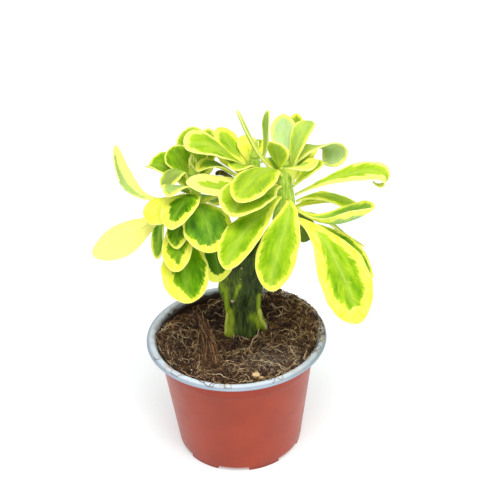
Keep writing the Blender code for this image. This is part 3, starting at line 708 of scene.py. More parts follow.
def fibre_material():
    """Coir fibres: from dark brown to straw by the tone that each fibre keeps, a little uneven along it,
    greyer or redder where the mesh says so."""
    tree = new_material("coir_fibre", Roughness=0.75, Specular_IOR_Level=0.3)
    tone, grey, red = tree.kept_parts("tint")
    tone = tone + (tree.place().noise(500.0, 2.0) - 0.5) * 0.35
    browns = {0.35: (0.118, 0.052, 0.022), 0.65: (0.46, 0.250, 0.105)}
    colour = tree.ramp(tone, (0.022, 0.010, 0.006), (0.90, 0.68, 0.40), browns)
    colour = tree.mix(grey, colour, tree.mix(tone, (0.030, 0.022, 0.018), (0.80, 0.70, 0.60)))
    colour = tree.mix(red, colour, tree.mix(tone, (0.030, 0.009, 0.005), (0.52, 0.27, 0.13)))
    return tree.paint(Base_Color=colour)


def soil_material():
    """Peat: near black to brown crumbs with a coarse bump."""
    tree = new_material("peat", Roughness=0.95)
    crumbs = tree.place().noise(900.0, 5.0, 0.7)
    colour = tree.mix(crumbs.climb(0.35, 0.7), (0.010, 0.006, 0.004), (0.085, 0.044, 0.022))
    return tree.paint(Base_Color=colour, Normal=tree.bump(crumbs, 0.0012))


def dust_and_mouth_shade(tree, base, place):
    """The pale plastic's colour under dust on the lip, most at the sides, and inside the mouth a painted
    shade, dark brown up to a ragged upper edge."""
    x, y, z = tree.parts(place)
    reach = tree.math("SQRT", x * x + y * y)
    near = reach.climb((MOUTH_RADIUS + 0.2) * MM, (RIM_RADIUS - 1.2) * MM, 1.0, 0.0)
    dusty = place.noise(70.0, 4.0, 0.6).climb(0.42, 0.62) * near * abs(x).climb(0.02, 0.055, 0.12, 0.6)
    base = tree.mix(dusty, base, (0.24, 0.17, 0.11))
    # painted shade: the inside of the mouth dark brown up to a ragged edge just under the lip
    ragged = z + (place.noise(260.0, 4.0) - 0.5) * 0.004
    mouth_shade = ragged.climb(MOUTH_SHADE_EDGE[0] * MM, MOUTH_SHADE_EDGE[1] * MM, 1.0, 0.0)
    inside = reach.climb((MOUTH_RADIUS + 0.3) * MM, (MOUTH_RADIUS + 1.2) * MM, 1.0, 0.0)
    return tree.mix(inside * mouth_shade, base, (0.030, 0.018, 0.012))


def pot_material(name, colour, crest_highlight_colour, rough, speckle, dirt, inside):
    """Moulded plastic: one colour below the lip's crest and another on it, which on the pale plastic is a
    lighter painted highlight, faintly uneven, with a thin dark line at the step that is painted shade
    under the collar, fine scuffs round the pot and specks of soil. The collar outside is deeper."""
    tree = new_material(name, Specular_IOR_Level=0.36)
    place = tree.place()
    x, y, z = tree.parts(place)
    uneven = place.noise(45.0).climb(0.3, 0.7, 0.90, 1.08)
    # painted highlight: the top of the lip's crest takes the second colour, a near white on the pale plastic
    crest = z.climb((POT_HEIGHT - 0.9) * MM, (POT_HEIGHT - 0.1) * MM)
    tint = tree.joined(uneven, uneven, uneven)
    base = tree.mix(1.0, tree.mix(crest, colour, crest_highlight_colour), tint, "MULTIPLY")
    if inside:
        base = dust_and_mouth_shade(tree, base, place)
    else:
        collar = z.climb((STEP_HEIGHT + 0.6) * MM, (STEP_HEIGHT + 1.6) * MM, 0.0, 0.6)
        base = tree.mix(collar, base, (0.35, 0.023, 0.003))
    specks = tree.add("ShaderNodeGroup", {"Place": place, "Scale": 700.0, "Amount": dirt}, node_tree=speckle)
    base = tree.mix(specks, base, (0.10, 0.055, 0.03))
    # painted shade: a thin dark line just above the step, under the collar
    step_shade_gap = abs(z - (STEP_HEIGHT + 0.5) * MM)
    base = tree.mix(step_shade_gap.climb(0.0003, 0.0011, 0.75, 0.0), base, (0.09, 0.012, 0.007))
    scuffs = tree.joined(tree.math("ARCTAN2", y, x) * 3.0, z * 900.0, 0.0).noise(1.0, 4.0, 0.7)
    height = scuffs * 0.6 + place.noise(3000.0, 2.0) * 0.4
    return tree.paint(Base_Color=base, Normal=tree.bump(height, 0.00006, 0.6),
                      Roughness=scuffs.climb(0.3, 0.75, rough - 0.05, rough + 0.12))


# Leaves


def grown(shoot):
    """A shoot's growing end and the direction it grows in."""
    return np.array(shoot["apex"], float), unit(shoot["lean"])


def blade_outline(share, taper):
    """Half width along a leaf as a share of its widest: a narrow foot that swells by a sine to the
    widest place, then a rounded end."""
    widest, foot = 0.66, 0.13
    swell = foot + (1 - foot) * np.sin(np.clip(share / widest, 0, 1) * np.pi / 2) ** taper
    end = np.clip((share - widest) / (1 - widest), 0, 1)
    return np.where(share < widest, swell, (1 - end**2.1) ** 0.58)


def blade_side(along, compass):
    """The level direction across the blade, square to the midrib."""
    side = np.stack([np.sin(compass), -np.cos(compass), 0 * compass], 1)
    return unit(side - along * (side * along).sum(1, keepdims=True))


def midrib(shoot, values, count):
    """Points spread evenly along a leaf's midrib, its direction and its compass angle at each, and its
    length.

    The midrib is a cubic curve from the stem's surface to the tip. Its end then rolls under by the
    angle curl, which grows from curl_from to the tip.
    """
    apex, lean = grown(shoot)
    tip = np.array(values["tip"], float)
    foot = apex - lean * values["level"]
    heading = math.atan2(tip[1] - foot[1], tip[0] - foot[0])
    rise, fall, swing = (math.radians(values[key]) for key in ("rise", "fall", "swing"))
    start, finish = heading + swing, heading - 0.5 * swing
    out = aim(start, 0.0)
    out = unit(out - lean * (out @ lean))
    seat = SHOOT_TIP_RADIUS + SHOOT_TAPER * values["level"] + LEAF_SEAT + 0.75 * abs(math.sin(rise))
    root = foot + out * seat
    hand = 0.38 * np.linalg.norm(tip - root) * values["reach"]
    t = np.linspace(0.0, 1.0, 201)
    curve = cubic([root, root + aim(start, rise) * hand, tip - aim(finish, fall) * hand, tip], t)
    run = summed(np.linalg.norm(np.diff(curve, axis=0), axis=1))
    even = np.linspace(0.0, 1.0, count)
    points = read_off(even * run[-1], run, curve)
    compass = start + (finish - start) * np.interp(even * run[-1], run, t)
    along = unit(np.gradient(points, axis=0))
    if values["curl"]:
        side = blade_side(along, compass)
        share = np.clip((even - values["curl_from"]) / (1 - values["curl_from"]), 0, 1)
        roll = (share**1.3 * math.radians(values["curl"]))[:, None]
        along = along * np.cos(roll) - np.cross(side, along) * np.sin(roll)
        points = points[0] + summed((along[:-1] + along[1:]) / 2 * run[-1] / (count - 1))
    return points, along, compass, run[-1]


def blade_section(values, places):
    """The curve across a blade of half width one, as places across and lifts: its slope turns by cup
    from the midrib to each edge, and by near more towards one edge."""
    fine = np.linspace(-1.0, 1.0, 201)
    slope = math.radians(values["cup"]) * fine
    slope = slope + math.radians(values["near"]) * np.clip((fine - 0.3) / 0.7, 0, 1)
    found = []
    for rate in (np.cos(slope), np.sin(slope)):
        line = summed((rate[1:] + rate[:-1]) / 2 * (fine[1] - fine[0]))
        found.append(np.interp(places, fine, line - line[len(fine) // 2]))
    return found


def inset_of(half, length, places, share):
    """Each point of the flat blade across, along and in from its margin, in millimetres: the last is the
    least distance to the points of the outline."""
    x = half[:, None] * places
    y = np.repeat((share * length)[:, None], len(places), 1)
    fine = np.linspace(0.0, 1.0, 240)
    edge_x = np.interp(fine, share, half)
    edge = np.stack([[*edge_x, *-edge_x, 0.0], [*fine * length, *fine * length, length]], 1)
    flat = np.stack([x.ravel(), y.ravel()], 1)
    gap = np.linalg.norm(flat[:, None] - edge, axis=2).min(1)
    return x, y, gap.reshape(x.shape)


def blade_frame(shoot, values, share):
    """The middle of the blade at shares of its length, the directions across and up, turned by twist,
    and the length."""
    points, along, compass, length = midrib(shoot, values, 161)
    even = np.linspace(0.0, 1.0, len(points))
    forward = unit(read_off(share, even, along))
    side = blade_side(forward, np.interp(share, even, compass))
    up = np.cross(side, forward)
    turn = (math.radians(values["twist"]) * np.clip(share * 1.6, 0, 1))[:, None]
    side, up = side * np.cos(turn) + up * np.sin(turn), up * np.cos(turn) - side * np.sin(turn)
    return read_off(share, even, points), side, up, length


def leaf_surface(shoot, values, share, half_columns, seed, ripple):
    """The upper and the lower face of a blade as grids of points, and how far each is across, along and
    in from the margin.

    The middle surface is the section, scaled by the outline and carried along the midrib. Its edge waves
    a little, the upper face has a groove over the midrib and the lower face a keel.
    """
    middle, side, up, length = blade_frame(shoot, values, share)
    phase = np.random.default_rng(seed).uniform(0, 2 * np.pi, 4)
    half = np.maximum(values["width"] / 2 * blade_outline(share, values["taper"]), 0.35)
    uneven = 1 + 0.018 * np.sin(share * 21 + phase[0]) + 0.012 * np.sin(share * 37 + phase[1])
    half = half * np.where(half > 1.0, uneven, 1.0)
    places = np.sin(np.linspace(-np.pi / 2, np.pi / 2, 2 * half_columns + 1))
    across, lift = blade_section(values, places)
    x, y, inset = inset_of(half, length, places, share)
    wave = np.sin(y / 5.5 + phase[2]) * np.where(places > 0, 1.0, -0.7) + 0.6 * np.sin(y / 3.1 + phase[3])
    share, half = share[:, None], half[:, None]
    lifted = lift * half + ripple * wave * places**4 * smooth(0.15, 0.5, share)
    offset = side[:, None] * (across * half)[..., None] + up[:, None] * lifted[..., None]
    surface = middle[:, None] + offset
    normal = unit(np.cross(np.gradient(surface, axis=1), np.gradient(surface, axis=0)))
    rounding = np.sqrt(np.clip(1 - np.clip(1 - inset / 0.55, 0, 1) ** 2, 0, 1))
    thick = LEAF_THICKNESS * (1.25 - 0.4 * share) * (1.0 - 0.4 * places**2) * np.maximum(rounding, 0.12)
    rib = bell(x, 0.9 - 0.5 * share) * (1 - 0.75 * share) * (half > 2.2)
    top = surface + normal * (thick / 2 - 0.34 * rib)[..., None]
    below = surface - normal * (thick / 2 + 0.30 * rib)[..., None]
    return top, below, x, y, inset


def leaf_mesh(name, shoot, values, rows, half_columns, seed, ripple=0.3):
    """A closed blade: each ring runs across the upper face and back across the lower face. The mesh
    keeps what the leaf's material reads."""
    share = 1 - (1 - np.linspace(0.0, 1.0, rows)) ** 1.35
    top, below, x, y, inset = leaf_surface(shoot, values, share, half_columns, seed, ripple)

    def around(front, back):
        return np.concatenate([front, back[:, -2:0:-1]], axis=1)

    def kept(front, back=None):
        grid = around(front, front if back is None else back)
        return np.append(grid, [grid[0].mean(), grid[-1].mean()])

    ring = around(top, below)
    mesh = tube_mesh(name, ring, ring[0].mean(0), ring[-1].mean(0))
    margin, breaks, dark, skew, at_tip = values["look"]
    flat = np.zeros(x.shape)
    shares = flat + share[:, None]
    width = margin * (1 + skew * np.tanh(x / 1.5)) + at_tip * smooth(0.5, 1.0, shares)
    upper_bloom, lower_bloom = values["bloom"]
    store(mesh, "blade", [kept(x), kept(y), kept(inset)])
    store(mesh, "nature", [kept(width), kept(flat + breaks), kept(flat + dark)])
    bloom = kept(flat + upper_bloom, flat + lower_bloom)
    store(mesh, "leaf", [kept(flat + seed % 97 / 97), bloom, kept(shares)])
    return mesh


def build_leaves(material):
    seed = 11
    for side, leaves in LEAVES.items():
        for number, values in enumerate(leaves, 1):
            seed += 13
            name = "%s_leaf_%02d" % (side, number)
            mesh = leaf_mesh(name + "_blade", SHOOTS[side], values, 46, 10, seed)
            add_piece(name + "_blade", mesh, [material], "leaf", name)


def build_withered_leaf(material):
    mesh = leaf_mesh("withered_leaf", SHOOTS["middle"], WITHERED_LEAF, 40, 8, 777, 0.5)
    set_points(mesh, points_of(mesh) + WITHERED_SINK)
    add_piece("withered_leaf", mesh, [material], "leaf")


def young_leaf(shoot, index, count):
    """A short steep leaf out of the growing tip, each turned on from the last by the golden angle."""
    apex, lean = grown(shoot)
    share = index / (count - 1)
    out = aim(math.radians(GOLDEN_TURN * index + 30.0), 0.0)
    tip = apex + lean * (10.5 + 3.0 * share) + out * (4.6 - 2.4 * share)
    values = leaf(-1.6 - 1.4 * share, tip, 82, 74, 4.6 - 1.4 * share, (0.5, 0.1, 0.12, 0, 0), cup=24)
    half_columns = 5
    mesh = leaf_mesh("young", shoot, values, 20, half_columns, 400 + index, 0.1)
    points = points_of(mesh)
    root = points[: 4 * half_columns].mean(0)
    set_points(mesh, points + (apex + lean * ((root - apex) @ lean) - root) * 0.62)
    return mesh


def tip_core(shoot):
    """A slim blunt cone that stands on the shoot's end."""
    apex, lean = grown(shoot)
    foot = apex + lean * GAP
    levels = [(0.0, 2.6), (0.4, 2.9), (1.4, 2.7), (4.0, 1.7), (6.5, 0.8), (7.0, 0.4)]
    rings = np.stack([foot + lean * height + spokes(lean, 20) * radius for height, radius in levels])
    mesh = tube_mesh("core", rings, foot, foot + lean * 7.2)
    for name, numbers in dict(blade=(2, 5, 4), nature=(0.5, 0.1, 0.2), leaf=(0.3, 0.2, 0)).items():
        store(mesh, name, np.outer(numbers, np.ones(len(mesh.vertices))))
    return mesh


def build_growing_tips(material):
    for side, shoot in SHOOTS.items():
        count = YOUNG_LEAVES[side]
        meshes = [young_leaf(shoot, index, count) for index in range(count)] + [tip_core(shoot)]
        name = side + "_young_leaves"
        add_piece(name, joined(name, meshes), [material], "young_leaf", side + "_growing_tip")


# Stem


def trunk_rings(rows, sides):
    """Rings up the trunk whose radius swells at each rib by a bell curve of the angle, and the middle
    points of its two ends."""
    line = np.array(TRUNK_LINE)
    heights = np.linspace(line[0, 0], line[-1, 0], rows)
    x, y, radius = read_off(heights, line[:, 0], line[:, 1:]).T[..., None]
    climb = np.clip((heights - 80.0) / 60.0, 0, 1)[:, None]
    angles = 360.0 * np.arange(sides) / sides
    for low, high, *swells in RIBS:
        away = (angles - (low + (high - low) * climb) + 180.0) % 360.0 - 180.0
        swell = np.interp(heights, RIB_HEIGHTS, (RIB_FOOT, *swells, RIB_NECK, RIB_END))
        radius = radius + swell[:, None] * bell(away, RIB_SPREAD)
    turn = np.radians(angles)
    z = heights[:, None] + 0 * radius
    rings = np.stack([x + radius * np.cos(turn), y + radius * np.sin(turn), z], -1)
    return rings, rings[0].mean(0), rings[-1].mean(0) + (0, 0, TRUNK_TOP_RISE)


def branch_rings(shoot, rows, sides):
    """Rings along a cubic curve out of the trunk, then straight to the growing end, and the middle
    points of the two ends."""
    apex, lean = grown(shoot)
    low = apex - lean * shoot["length"]
    corners = [shoot["start"], shoot["bend"], low - lean * BRANCH_RISE, low]
    curve = cubic(corners, np.linspace(0.0, 1.0, rows))
    levels = np.linspace(shoot["length"], 0.0, rows)
    straight = SHOOT_TIP_RADIUS + SHOOT_TAPER * levels
    radius = np.concatenate([np.linspace(BRANCH_RADIUS, straight[0], rows), straight[1:]])
    centre = np.concatenate([curve, apex - lean * levels[1:, None]])
    along = unit(np.gradient(centre, axis=0))
    along[rows - 1 :] = lean
    return centre[:, None] + spokes(along, sides) * radius[:, None, None], centre[0], centre[-1]


def one_skin(meshes, voxel):
    """The outer skin of some closed meshes that run into each other, remade on a grid of cubes."""
    holder = add_object("joined", joined("joined", meshes))
    step = holder.modifiers.new("skin", "REMESH")
    step.mode = "VOXEL"
    step.voxel_size = voxel * MM
    soften = holder.modifiers.new("soften", "SMOOTH")
    soften.factor = 0.5
    soften.iterations = 4
    mesh = settled(holder)
    bpy.data.objects.remove(holder)
    return mesh


def shoot_scars():
    """Leaf scars up the bare parts of the branches, in spirals."""
    scars = []
    for number, shoot in enumerate(SHOOTS.values()):
        rings = branch_rings(shoot, 24, SCAR_SIDES)[0]
        for index in range(SCAR_COUNT):
            row = SCAR_ROWS[0] + index * (SCAR_ROWS[1] - SCAR_ROWS[0]) // SCAR_COUNT
            column = int(index * GOLDEN_TURN * SCAR_SIDES / 360 + number * 5) % SCAR_SIDES
            scars.append((rings[row, column], 0.9, 0.35))
    return scars


def stroke_share(points):
    """How pale the strokes make each point: a bell curve of its distance from the nearest of them."""
    total = np.zeros(len(points))
    for strength, width, corners in TRUNK_STROKES:
        for start, end in zip(np.array(corners), np.array(corners[1:])):
            run = end - start
            share = np.clip((points - start) @ run / (run @ run), 0, 1)
            gap = np.linalg.norm(points - start - share[:, None] * run, axis=1)
            total = np.maximum(total, strength * bell(gap, 1.35 * width))
    return total


def build_stem(material):
    """One skin over the trunk and its branches, roughened by soft noise and raised at the scars."""
    meshes = [tube_mesh("trunk", *trunk_rings(90, 96))]
    meshes += [tube_mesh("branch", *branch_rings(shoot, 30, 40)) for shoot in SHOOTS.values()]
    mesh = one_skin(meshes, SKIN_CUBE)
    points = points_of(mesh)
    lift = 0.22 * wave_noise(points * (1, 1, 0.35), 9.0, 3)
    lift += 0.09 * wave_noise(points * (1, 1, 0.25), 2.6, 4)
    scar = np.zeros(len(points))
    for place, radius, height in TRUNK_SCARS + shoot_scars():
        gap = np.linalg.norm(points - place, axis=1) / radius
        lift += height * (bell(gap, 1.0) - 0.5 * bell(gap, 0.35))
        scar = np.maximum(scar, min(1.0, 1.25 * height + 0.1) * bell(gap, 0.8))
    lift *= smooth(64.0, 70.0, points[:, 2])
    set_points(mesh, points + read(mesh.vertex_normals, "vector") * lift[:, None])
    uneven = 0.25 * wave_noise(points * (1, 1, 0.4), 7.0, 5)
    young = smooth(146.0, 178.0, points[:, 2] + 14.0 * uneven)
    pale = stroke_share(points) * (1 + 0.6 * uneven) + 0.6 * young + 0.25 * uneven
    store(mesh, "young", np.clip(young * 1.1 - 0.1, 0, 1))
    store(mesh, "pale", np.clip(pale, 0, 1))
    store(mesh, "scar", scar)
    add_piece("stem_skin", mesh, [material], "stem", "stem")


# Soil


def pot_inner_radius(height):
    """The radius of the pot's inside at a height."""
    radii, heights = np.array(POT_SECTION[2:7]).T[:2]
    return np.interp(height, heights, radii)


def soil_height(x, y):
    """Height of the soil: level, heaped at the right, the left and the front edge, sunk at the back
    left, a little hollow round the stem, with low lumps made of sines."""
    angle = np.degrees(np.arctan2(y, x))
    share = np.clip((np.hypot(x, y) - 14.0) / 38.0, 0, 1)
    heap = 3.0 * bell(angle - 22.0, 42.0) + 1.2 * bell(np.abs(angle) - 172.0, 22.0)
    heap += 0.8 * bell(angle + 80.0, 50.0) - 5.0 * bell(angle - 126.0, 30.0)
    lumps = 0.7 * np.sin(0.23 * x + 1.0) * np.cos(0.27 * y - 0.4)
    lumps += 0.45 * np.sin(0.55 * x - 0.35 * y) + 0.35 * np.sin(0.31 * x + 0.62 * y + 2.0)
    return SOIL_LEVEL + heap * share - 0.8 * bell(share, 0.22) + lumps


def rough_soil(x, y):
    """The soil's height with crumbs: noise at three sizes."""
    flat = np.stack([x, y], -1)
    sizes = [(0.55, 7.0, 21), (0.5, 3.1, 22), (0.3, 1.5, 23)]
    rough = sum(strength * wave_noise(flat, size, seed) for strength, size, seed in sizes)
    return soil_height(x, y) + rough


def build_soil(material):
    """Rings of points from the hole's floor up its wall, out over the rough top and down to the floor."""
    around = circle(SOIL_SIDES)
    rim = COLLAR_RADII[1] - WALL - GAP
    trunk = trunk_rings(60, SOIL_SIDES)[0]
    level = int(np.argmin(np.abs(trunk[:, 0, 2] - SOIL_LEVEL)))
    edge = trunk[level, :, :2] + 0.35 * around
    rings = [np.column_stack([edge, np.full(SOIL_SIDES, HOLE_FLOOR)])]
    for share in np.linspace(0.0, 1.0, 60):
        flat = edge + (rim * around - edge) * share
        flat = flat + 0.3 * wave_noise(flat, 4.0, 25)[:, None] * around * (0.03 < share < 0.97)
        rings.append(np.column_stack([flat, rough_soil(*flat.T)]))
    rings[-1][:, :2] = (pot_inner_radius(rings[-1][:, 2]) - GAP)[:, None] * around
    for height in (STEP_HEIGHT + 0.8, STEP_HEIGHT - 0.4, 40.0, FLOOR_TOP + 1.6, FLOOR_TOP + GAP):
        inset = 1.0 if height < FLOOR_TOP + 1.0 else 0.0
        radius = pot_inner_radius(height) - GAP - inset
        rings.append(np.column_stack([radius * around, np.full(SOIL_SIDES, height)]))
    mesh = tube_mesh("soil_bed", np.stack(rings), (*HOLE_CENTRE, HOLE_FLOOR), (0.0, 0.0, FLOOR_TOP + GAP))
    add_piece("soil_bed", mesh, [material], "soil", "soil")


# how the soil's look changes from place to place: x, y, radius, lighter, greyer, redder
SOIL_PATCHES = [
    (-40, 20, 16, 0.16, 0, 0),
    (-46, -4, 10, 0.1, 0.1, 0),
    (16, -26, 11, 0.1, 0.5, 0),
    (30, -32, 8, 0.04, 0.35, 0),
    (-2, -34, 9, -0.08, 0.2, 0),
    (38, -23, 9, 0.2, 0.2, 0),
    (46, 8, 14, 0.12, 0, 0.1),
    (34, 34, 14, -0.05, 0, 0.25),
    (-22, 24, 9, -0.2, 0, 0.5),
    (-34, -12, 10, -0.16, 0.1, 0.3),
    (-6, -8, 8, -0.32, 0.1, 0),
    (23, 25, 9, -0.32, 0, 0),
    (-8, 30, 14, -0.28, 0, 0),
    (10, -44, 9, 0.1, 0, 0),
]


def soil_tint(place, tone):
    """The tone, greyness and redness of bits of soil, from clumps and bell curves round the patches."""
    tint = np.stack([tone * (1 + 0.55 * wave_noise(place, 8.0, 45, 2)), 0 * tone, 0 * tone])
    for x, y, radius, *change in SOIL_PATCHES:
        tint += np.outer(change, bell(np.linalg.norm(place - (x, y), axis=1), radius))
    return np.clip(tint, 0, 1)


def ground(x, y):
    """The height that loose soil lies at: the rough soil, and over the lip the lip's own top."""
    reach = np.hypot(x, y)
    line = (MOUTH_RADIUS - 1, 81.0), (MOUTH_RADIUS + 0.9, 84.0), (CREST_RADIUS, 84.0), (RIM_RADIUS, 82.9)
    return np.where(reach < MOUTH_RADIUS - 0.8, rough_soil(x, y), np.interp(reach, *zip(*line)))


def wall_reach(x, y, clear):
    """How far out loose soil may lie in a direction, clear of the pot's wall at the soil's height."""
    out = 52.0 / np.maximum(np.hypot(x, y), 1e-6)
    return np.minimum(pot_inner_radius(rough_soil(x * out, y * out)), MOUTH_RADIUS - 0.3) - clear


def on_soil(count, random):
    """Random places on the soil, clear of the stem."""
    angle = random.uniform(0, 2 * np.pi, count)
    place = polar(np.sqrt(random.uniform(0.0, 1.0, count)) * LOOSE_EDGE, angle)
    away = place - HOLE_CENTRE
    gap = np.linalg.norm(away, axis=1, keepdims=True)
    moved = HOLE_CENTRE + away / gap * random.uniform(*CLEAR_OF_STEM, (count, 1))
    return np.where(gap < CLEAR_OF_STEM[0], moved, place)


def on_heap(count, random, scatter, low, high):
    """Random directions round the heap at the right, held between two angles."""
    angle = np.clip(random.normal(HEAP_COMPASS, scatter, count), low, high) + random.normal(0, 3.0, count)
    return np.radians(angle)


def swirl(place, random):
    """Headings that agree with their neighbours' in tufts: a slow noise of the place, and a scatter."""
    return 2.8 * wave_noise(place, 30.0, 46, 2) + random.normal(0, 0.7, len(place))


def strands(start, heading, length, thick, curl, lift, seed, steps=9, outer=None):
    """Middle lines of thin curly fibres: the heading turns along each by two sines of its own, and the
    height over the soil bulges up in the middle. They end at the pot's wall or at an outer radius."""
    phase = np.random.default_rng(seed).uniform(0, 2 * np.pi, (len(start), 3, 1))
    t = np.linspace(0.0, 1.0, steps)
    bend = np.sin(t * 4.0 + phase[:, 0]) + 0.5 * np.sin(t * 9.0 + phase[:, 1])
    run = polar((length / (steps - 1))[:, None], heading[:, None] + curl[:, None] * bend)
    x, y = np.moveaxis(start[:, None] + np.cumsum(run, 1), -1, 0)
    limit = wall_reach(x, y, 0.7) if outer is None else outer
    shrink = np.minimum(1.0, limit / np.maximum(np.hypot(x, y), 1e-6))
    x, y = x * shrink, y * shrink
    bulge = lift[:, None] * (np.sin(np.pi * t) ** 0.8 + 0.25 * np.sin(t * 11.0 + phase[:, 2]))
    return np.stack([x, y, ground(x, y) + thick[:, None] * 0.6 - 0.25 + bulge], -1)


def add_strands(name, centre, thick, tint, material, sides=3):
    """Tubes of a few sides round many lines of points at once, tapering to their ends."""
    count, steps = centre.shape[:2]
    taper = 0.35 + 0.65 * np.sin(np.pi * np.linspace(0.04, 0.96, steps)) ** 0.6
    radius = (thick[:, None] / 2 * taper)[..., None, None]
    ring = spokes(unit(np.gradient(centre, axis=1)), sides, (0, 0, 1), -1)
    per = steps * sides
    start = np.arange(count)[:, None] * per
    quads = (start[..., None] + tube_grid(steps, sides)).reshape(-1, 4)
    corners = np.arange(sides)
    caps = np.concatenate([start + corners[::-1], start + per - sides + corners])
    mesh = make_mesh(name, centre[:, :, None] + radius * ring, quads, caps)
    store(mesh, "tint", np.repeat(tint, per, 1))
    add_piece(name, mesh, [material], "soil")


# coats of fibres: how many, length, thickness, tone, lift and curl, each from least to most
FIBRE_COATS = [
    (4600, (4, 12), (0.18, 0.34), (0, 0.66), (0, 1), (0.15, 1.1)),
    (1700, (8, 20), (0.2, 0.4), (0.12, 1.05), (0.2, 2.2), (0.1, 0.9)),
]


def build_fibres(material):
    """A dense mat of short fine fibres, then longer and paler curly ones."""
    random = np.random.default_rng(31)
    for number, (count, length, thick, tone, lift, curl) in enumerate(FIBRE_COATS):
        start = on_soil(count, random)
        width = random.uniform(*thick, count)
        heading = swirl(start, random)
        length, curl, lift = (random.uniform(*span, count) for span in (length, curl, lift))
        centre = strands(start, heading, length, width, curl, lift, 41 + number, 7 + 2 * number)
        shade = tone[0] + (tone[1] - tone[0]) * random.uniform(0, 1, count) ** 1.5
        add_strands("coir_coat_%d" % (number + 1), centre, width, soil_tint(start, shade), material)


def build_husk(material):
    """A torn strip of husk: stiff reddish fibres side by side, from the back left round to the front."""
    random = np.random.default_rng(61)
    count = 260
    across = random.normal(size=(count, 1))
    t = np.linspace(0.0, 1.0, 12)
    part = random.uniform(0.0, 0.55, (count, 1)) + random.uniform(0.3, 0.45, (count, 1)) * t
    bends = (0, 0.4, 0.6, 1)
    middle = [(bends, (-25, -21, -17, -14)), (bends, (36, 8, -8, -40))]
    width = ((0, 0.4, 0.75, 1), (1.6, 1.6, 4.4, 5))
    x, y, spread = (np.interp(part, t, np.interp(t, *line)) for line in (*middle, width))
    x += across * spread + 0.8 * np.sin(part * 9.0 + across * 3.0)
    z = ground(x, y) + 1.0 + random.uniform(0.0, 2.0, (count, 1)) * np.sin(np.pi * t)
    tone = 0.1 + 0.8 * random.uniform(0, 1, count) ** 1.8
    tint = [tone, 0 * tone, random.uniform(0.45, 0.9, count)]
    add_strands("husk_strip", np.stack([x, y, z], -1), random.uniform(0.3, 0.6, count), tint, material)


# stout straws on the soil: start and end, height of the start and of the end over the soil, bow to one
# side, thickness
STRAWS = [
    ((15.4, -2.5), (6.5, -14), 9, 0.4, 0.6, 0.6),
    ((34, -14), (44, -33), 1.2, 0.6, -2, 0.5),
    ((40, -15), (31, -30), 0.8, 0.8, 2.5, 0.5),
    ((46, -18), (34, -34), 0.6, 0.6, 3.5, 0.45),
    ((-30, -20), (-44, 2), 0.6, 0.9, -2, 0.5),
    ((-16, 2), (-20, -14), 2.2, 0.6, 2, 0.5),
    ((-52, 4), (-38, 20), 0.8, 0.8, 2, 0.45),
    ((30, 18), (44, 2), 1, 0.8, 2, 0.5),
    ((24, 34), (40, 22), 1.6, 0.8, -2, 0.55),
    ((2, -28), (20, -34), 1, 0.6, 2, 0.45),
    ((10, -18), (22, -24), 0.8, 0.8, -1.5, 0.45),
    ((-20, -40), (-4, -48), 0.6, 0.6, 1.5, 0.45),
    ((24, -46), (40, -36), 0.6, 0.6, 1.5, 0.4),
    ((50, 10), (55.5, -10), 0.8, 0.6, 1.5, 0.45),
    ((40, 38), (54, 18), 1.2, 0.8, 1.5, 0.5),
]


def build_straws(material):
    """Single stout pale fibres, each a shallow arc over the soil."""
    t = np.linspace(0.0, 1.0, 12)
    arc = np.sin(np.pi * t)
    lines = []
    for start, end, high, low, bow, thick in STRAWS:
        run = np.subtract(end, start)
        flat = start + run * t[:, None] + unit([-run[1], run[0]]) * (bow * arc)[:, None]
        lines.append(np.column_stack([flat, ground(*flat.T) + high + (low - high) * t**0.7 + 0.6 * arc]))
    tone = 0.78 + 0.2 * np.sin(np.arange(len(STRAWS)) * 2.4)
    thick = np.array([straw[-1] for straw in STRAWS])
    add_strands("straws", np.stack(lines), thick, [tone, 0 * tone + 0.25, 0 * tone], material, 5)


def build_spill(material):
    """Fibres heaped over the lip at the right and the back right, and a few over its front."""
    random = np.random.default_rng(71)
    count = 620
    angle = on_heap(count, random, 24.0, -14.0, 68.0)
    stray = random.uniform(0, 1, count) < 0.12
    angle = np.where(stray, random.uniform(-2.9, 0.2, count), angle)
    reach = np.where(stray, random.uniform(51.0, 55.0, count), random.uniform(48.0, 57.0, count))
    start = polar(reach, angle)
    heading = angle + np.pi / 2 * np.sign(random.uniform(-1, 1, count)) + random.normal(0, 0.7, count)
    width = random.uniform(0.25, 0.45, count)
    lift = np.where(stray, 0.4, random.uniform(0.3, 2.0, count))
    length, curl = random.uniform(5, 15, count), random.uniform(0.3, 1.2, count)
    centre = strands(start, heading, length, width, curl, lift, 72, outer=RIM_RADIUS - 1.2)
    tint = soil_tint(start, random.uniform(0.1, 0.85, count))
    add_strands("spilt_coir", centre, width, tint, material)


def crumb_mesh(name, place, size, squash, random):
    """Small angular crumbs: distorted twenty-faced balls, pressed into the ground."""
    ball = bmesh.new()
    bmesh.ops.create_icosphere(ball, subdivisions=1, radius=1.0)
    corners = np.array([corner.co for corner in ball.verts])
    faces = np.array([[corner.index for corner in face.verts] for face in ball.faces])
    ball.free()
    bumpy = corners * (1 + 0.25 * random.normal(size=(len(place), len(corners), 1)))
    middle = np.column_stack([place, ground(*place.T) + size * 0.3])
    first = (np.arange(len(place)) * len(corners))[:, None, None]
    points = bumpy * squash * size[:, None, None] + middle[:, None]
    return make_mesh(name, points, (faces + first).reshape(-1, 3))


def add_crumbs(name, mesh, tint, material):
    """Keeps each crumb's tint for all its corners and leaves its faces flat."""
    store(mesh, "tint", np.repeat(tint, len(mesh.vertices) // np.shape(tint)[1], 1))
    add_piece(name, mesh, [material], "soil")
    mesh.shade_flat()


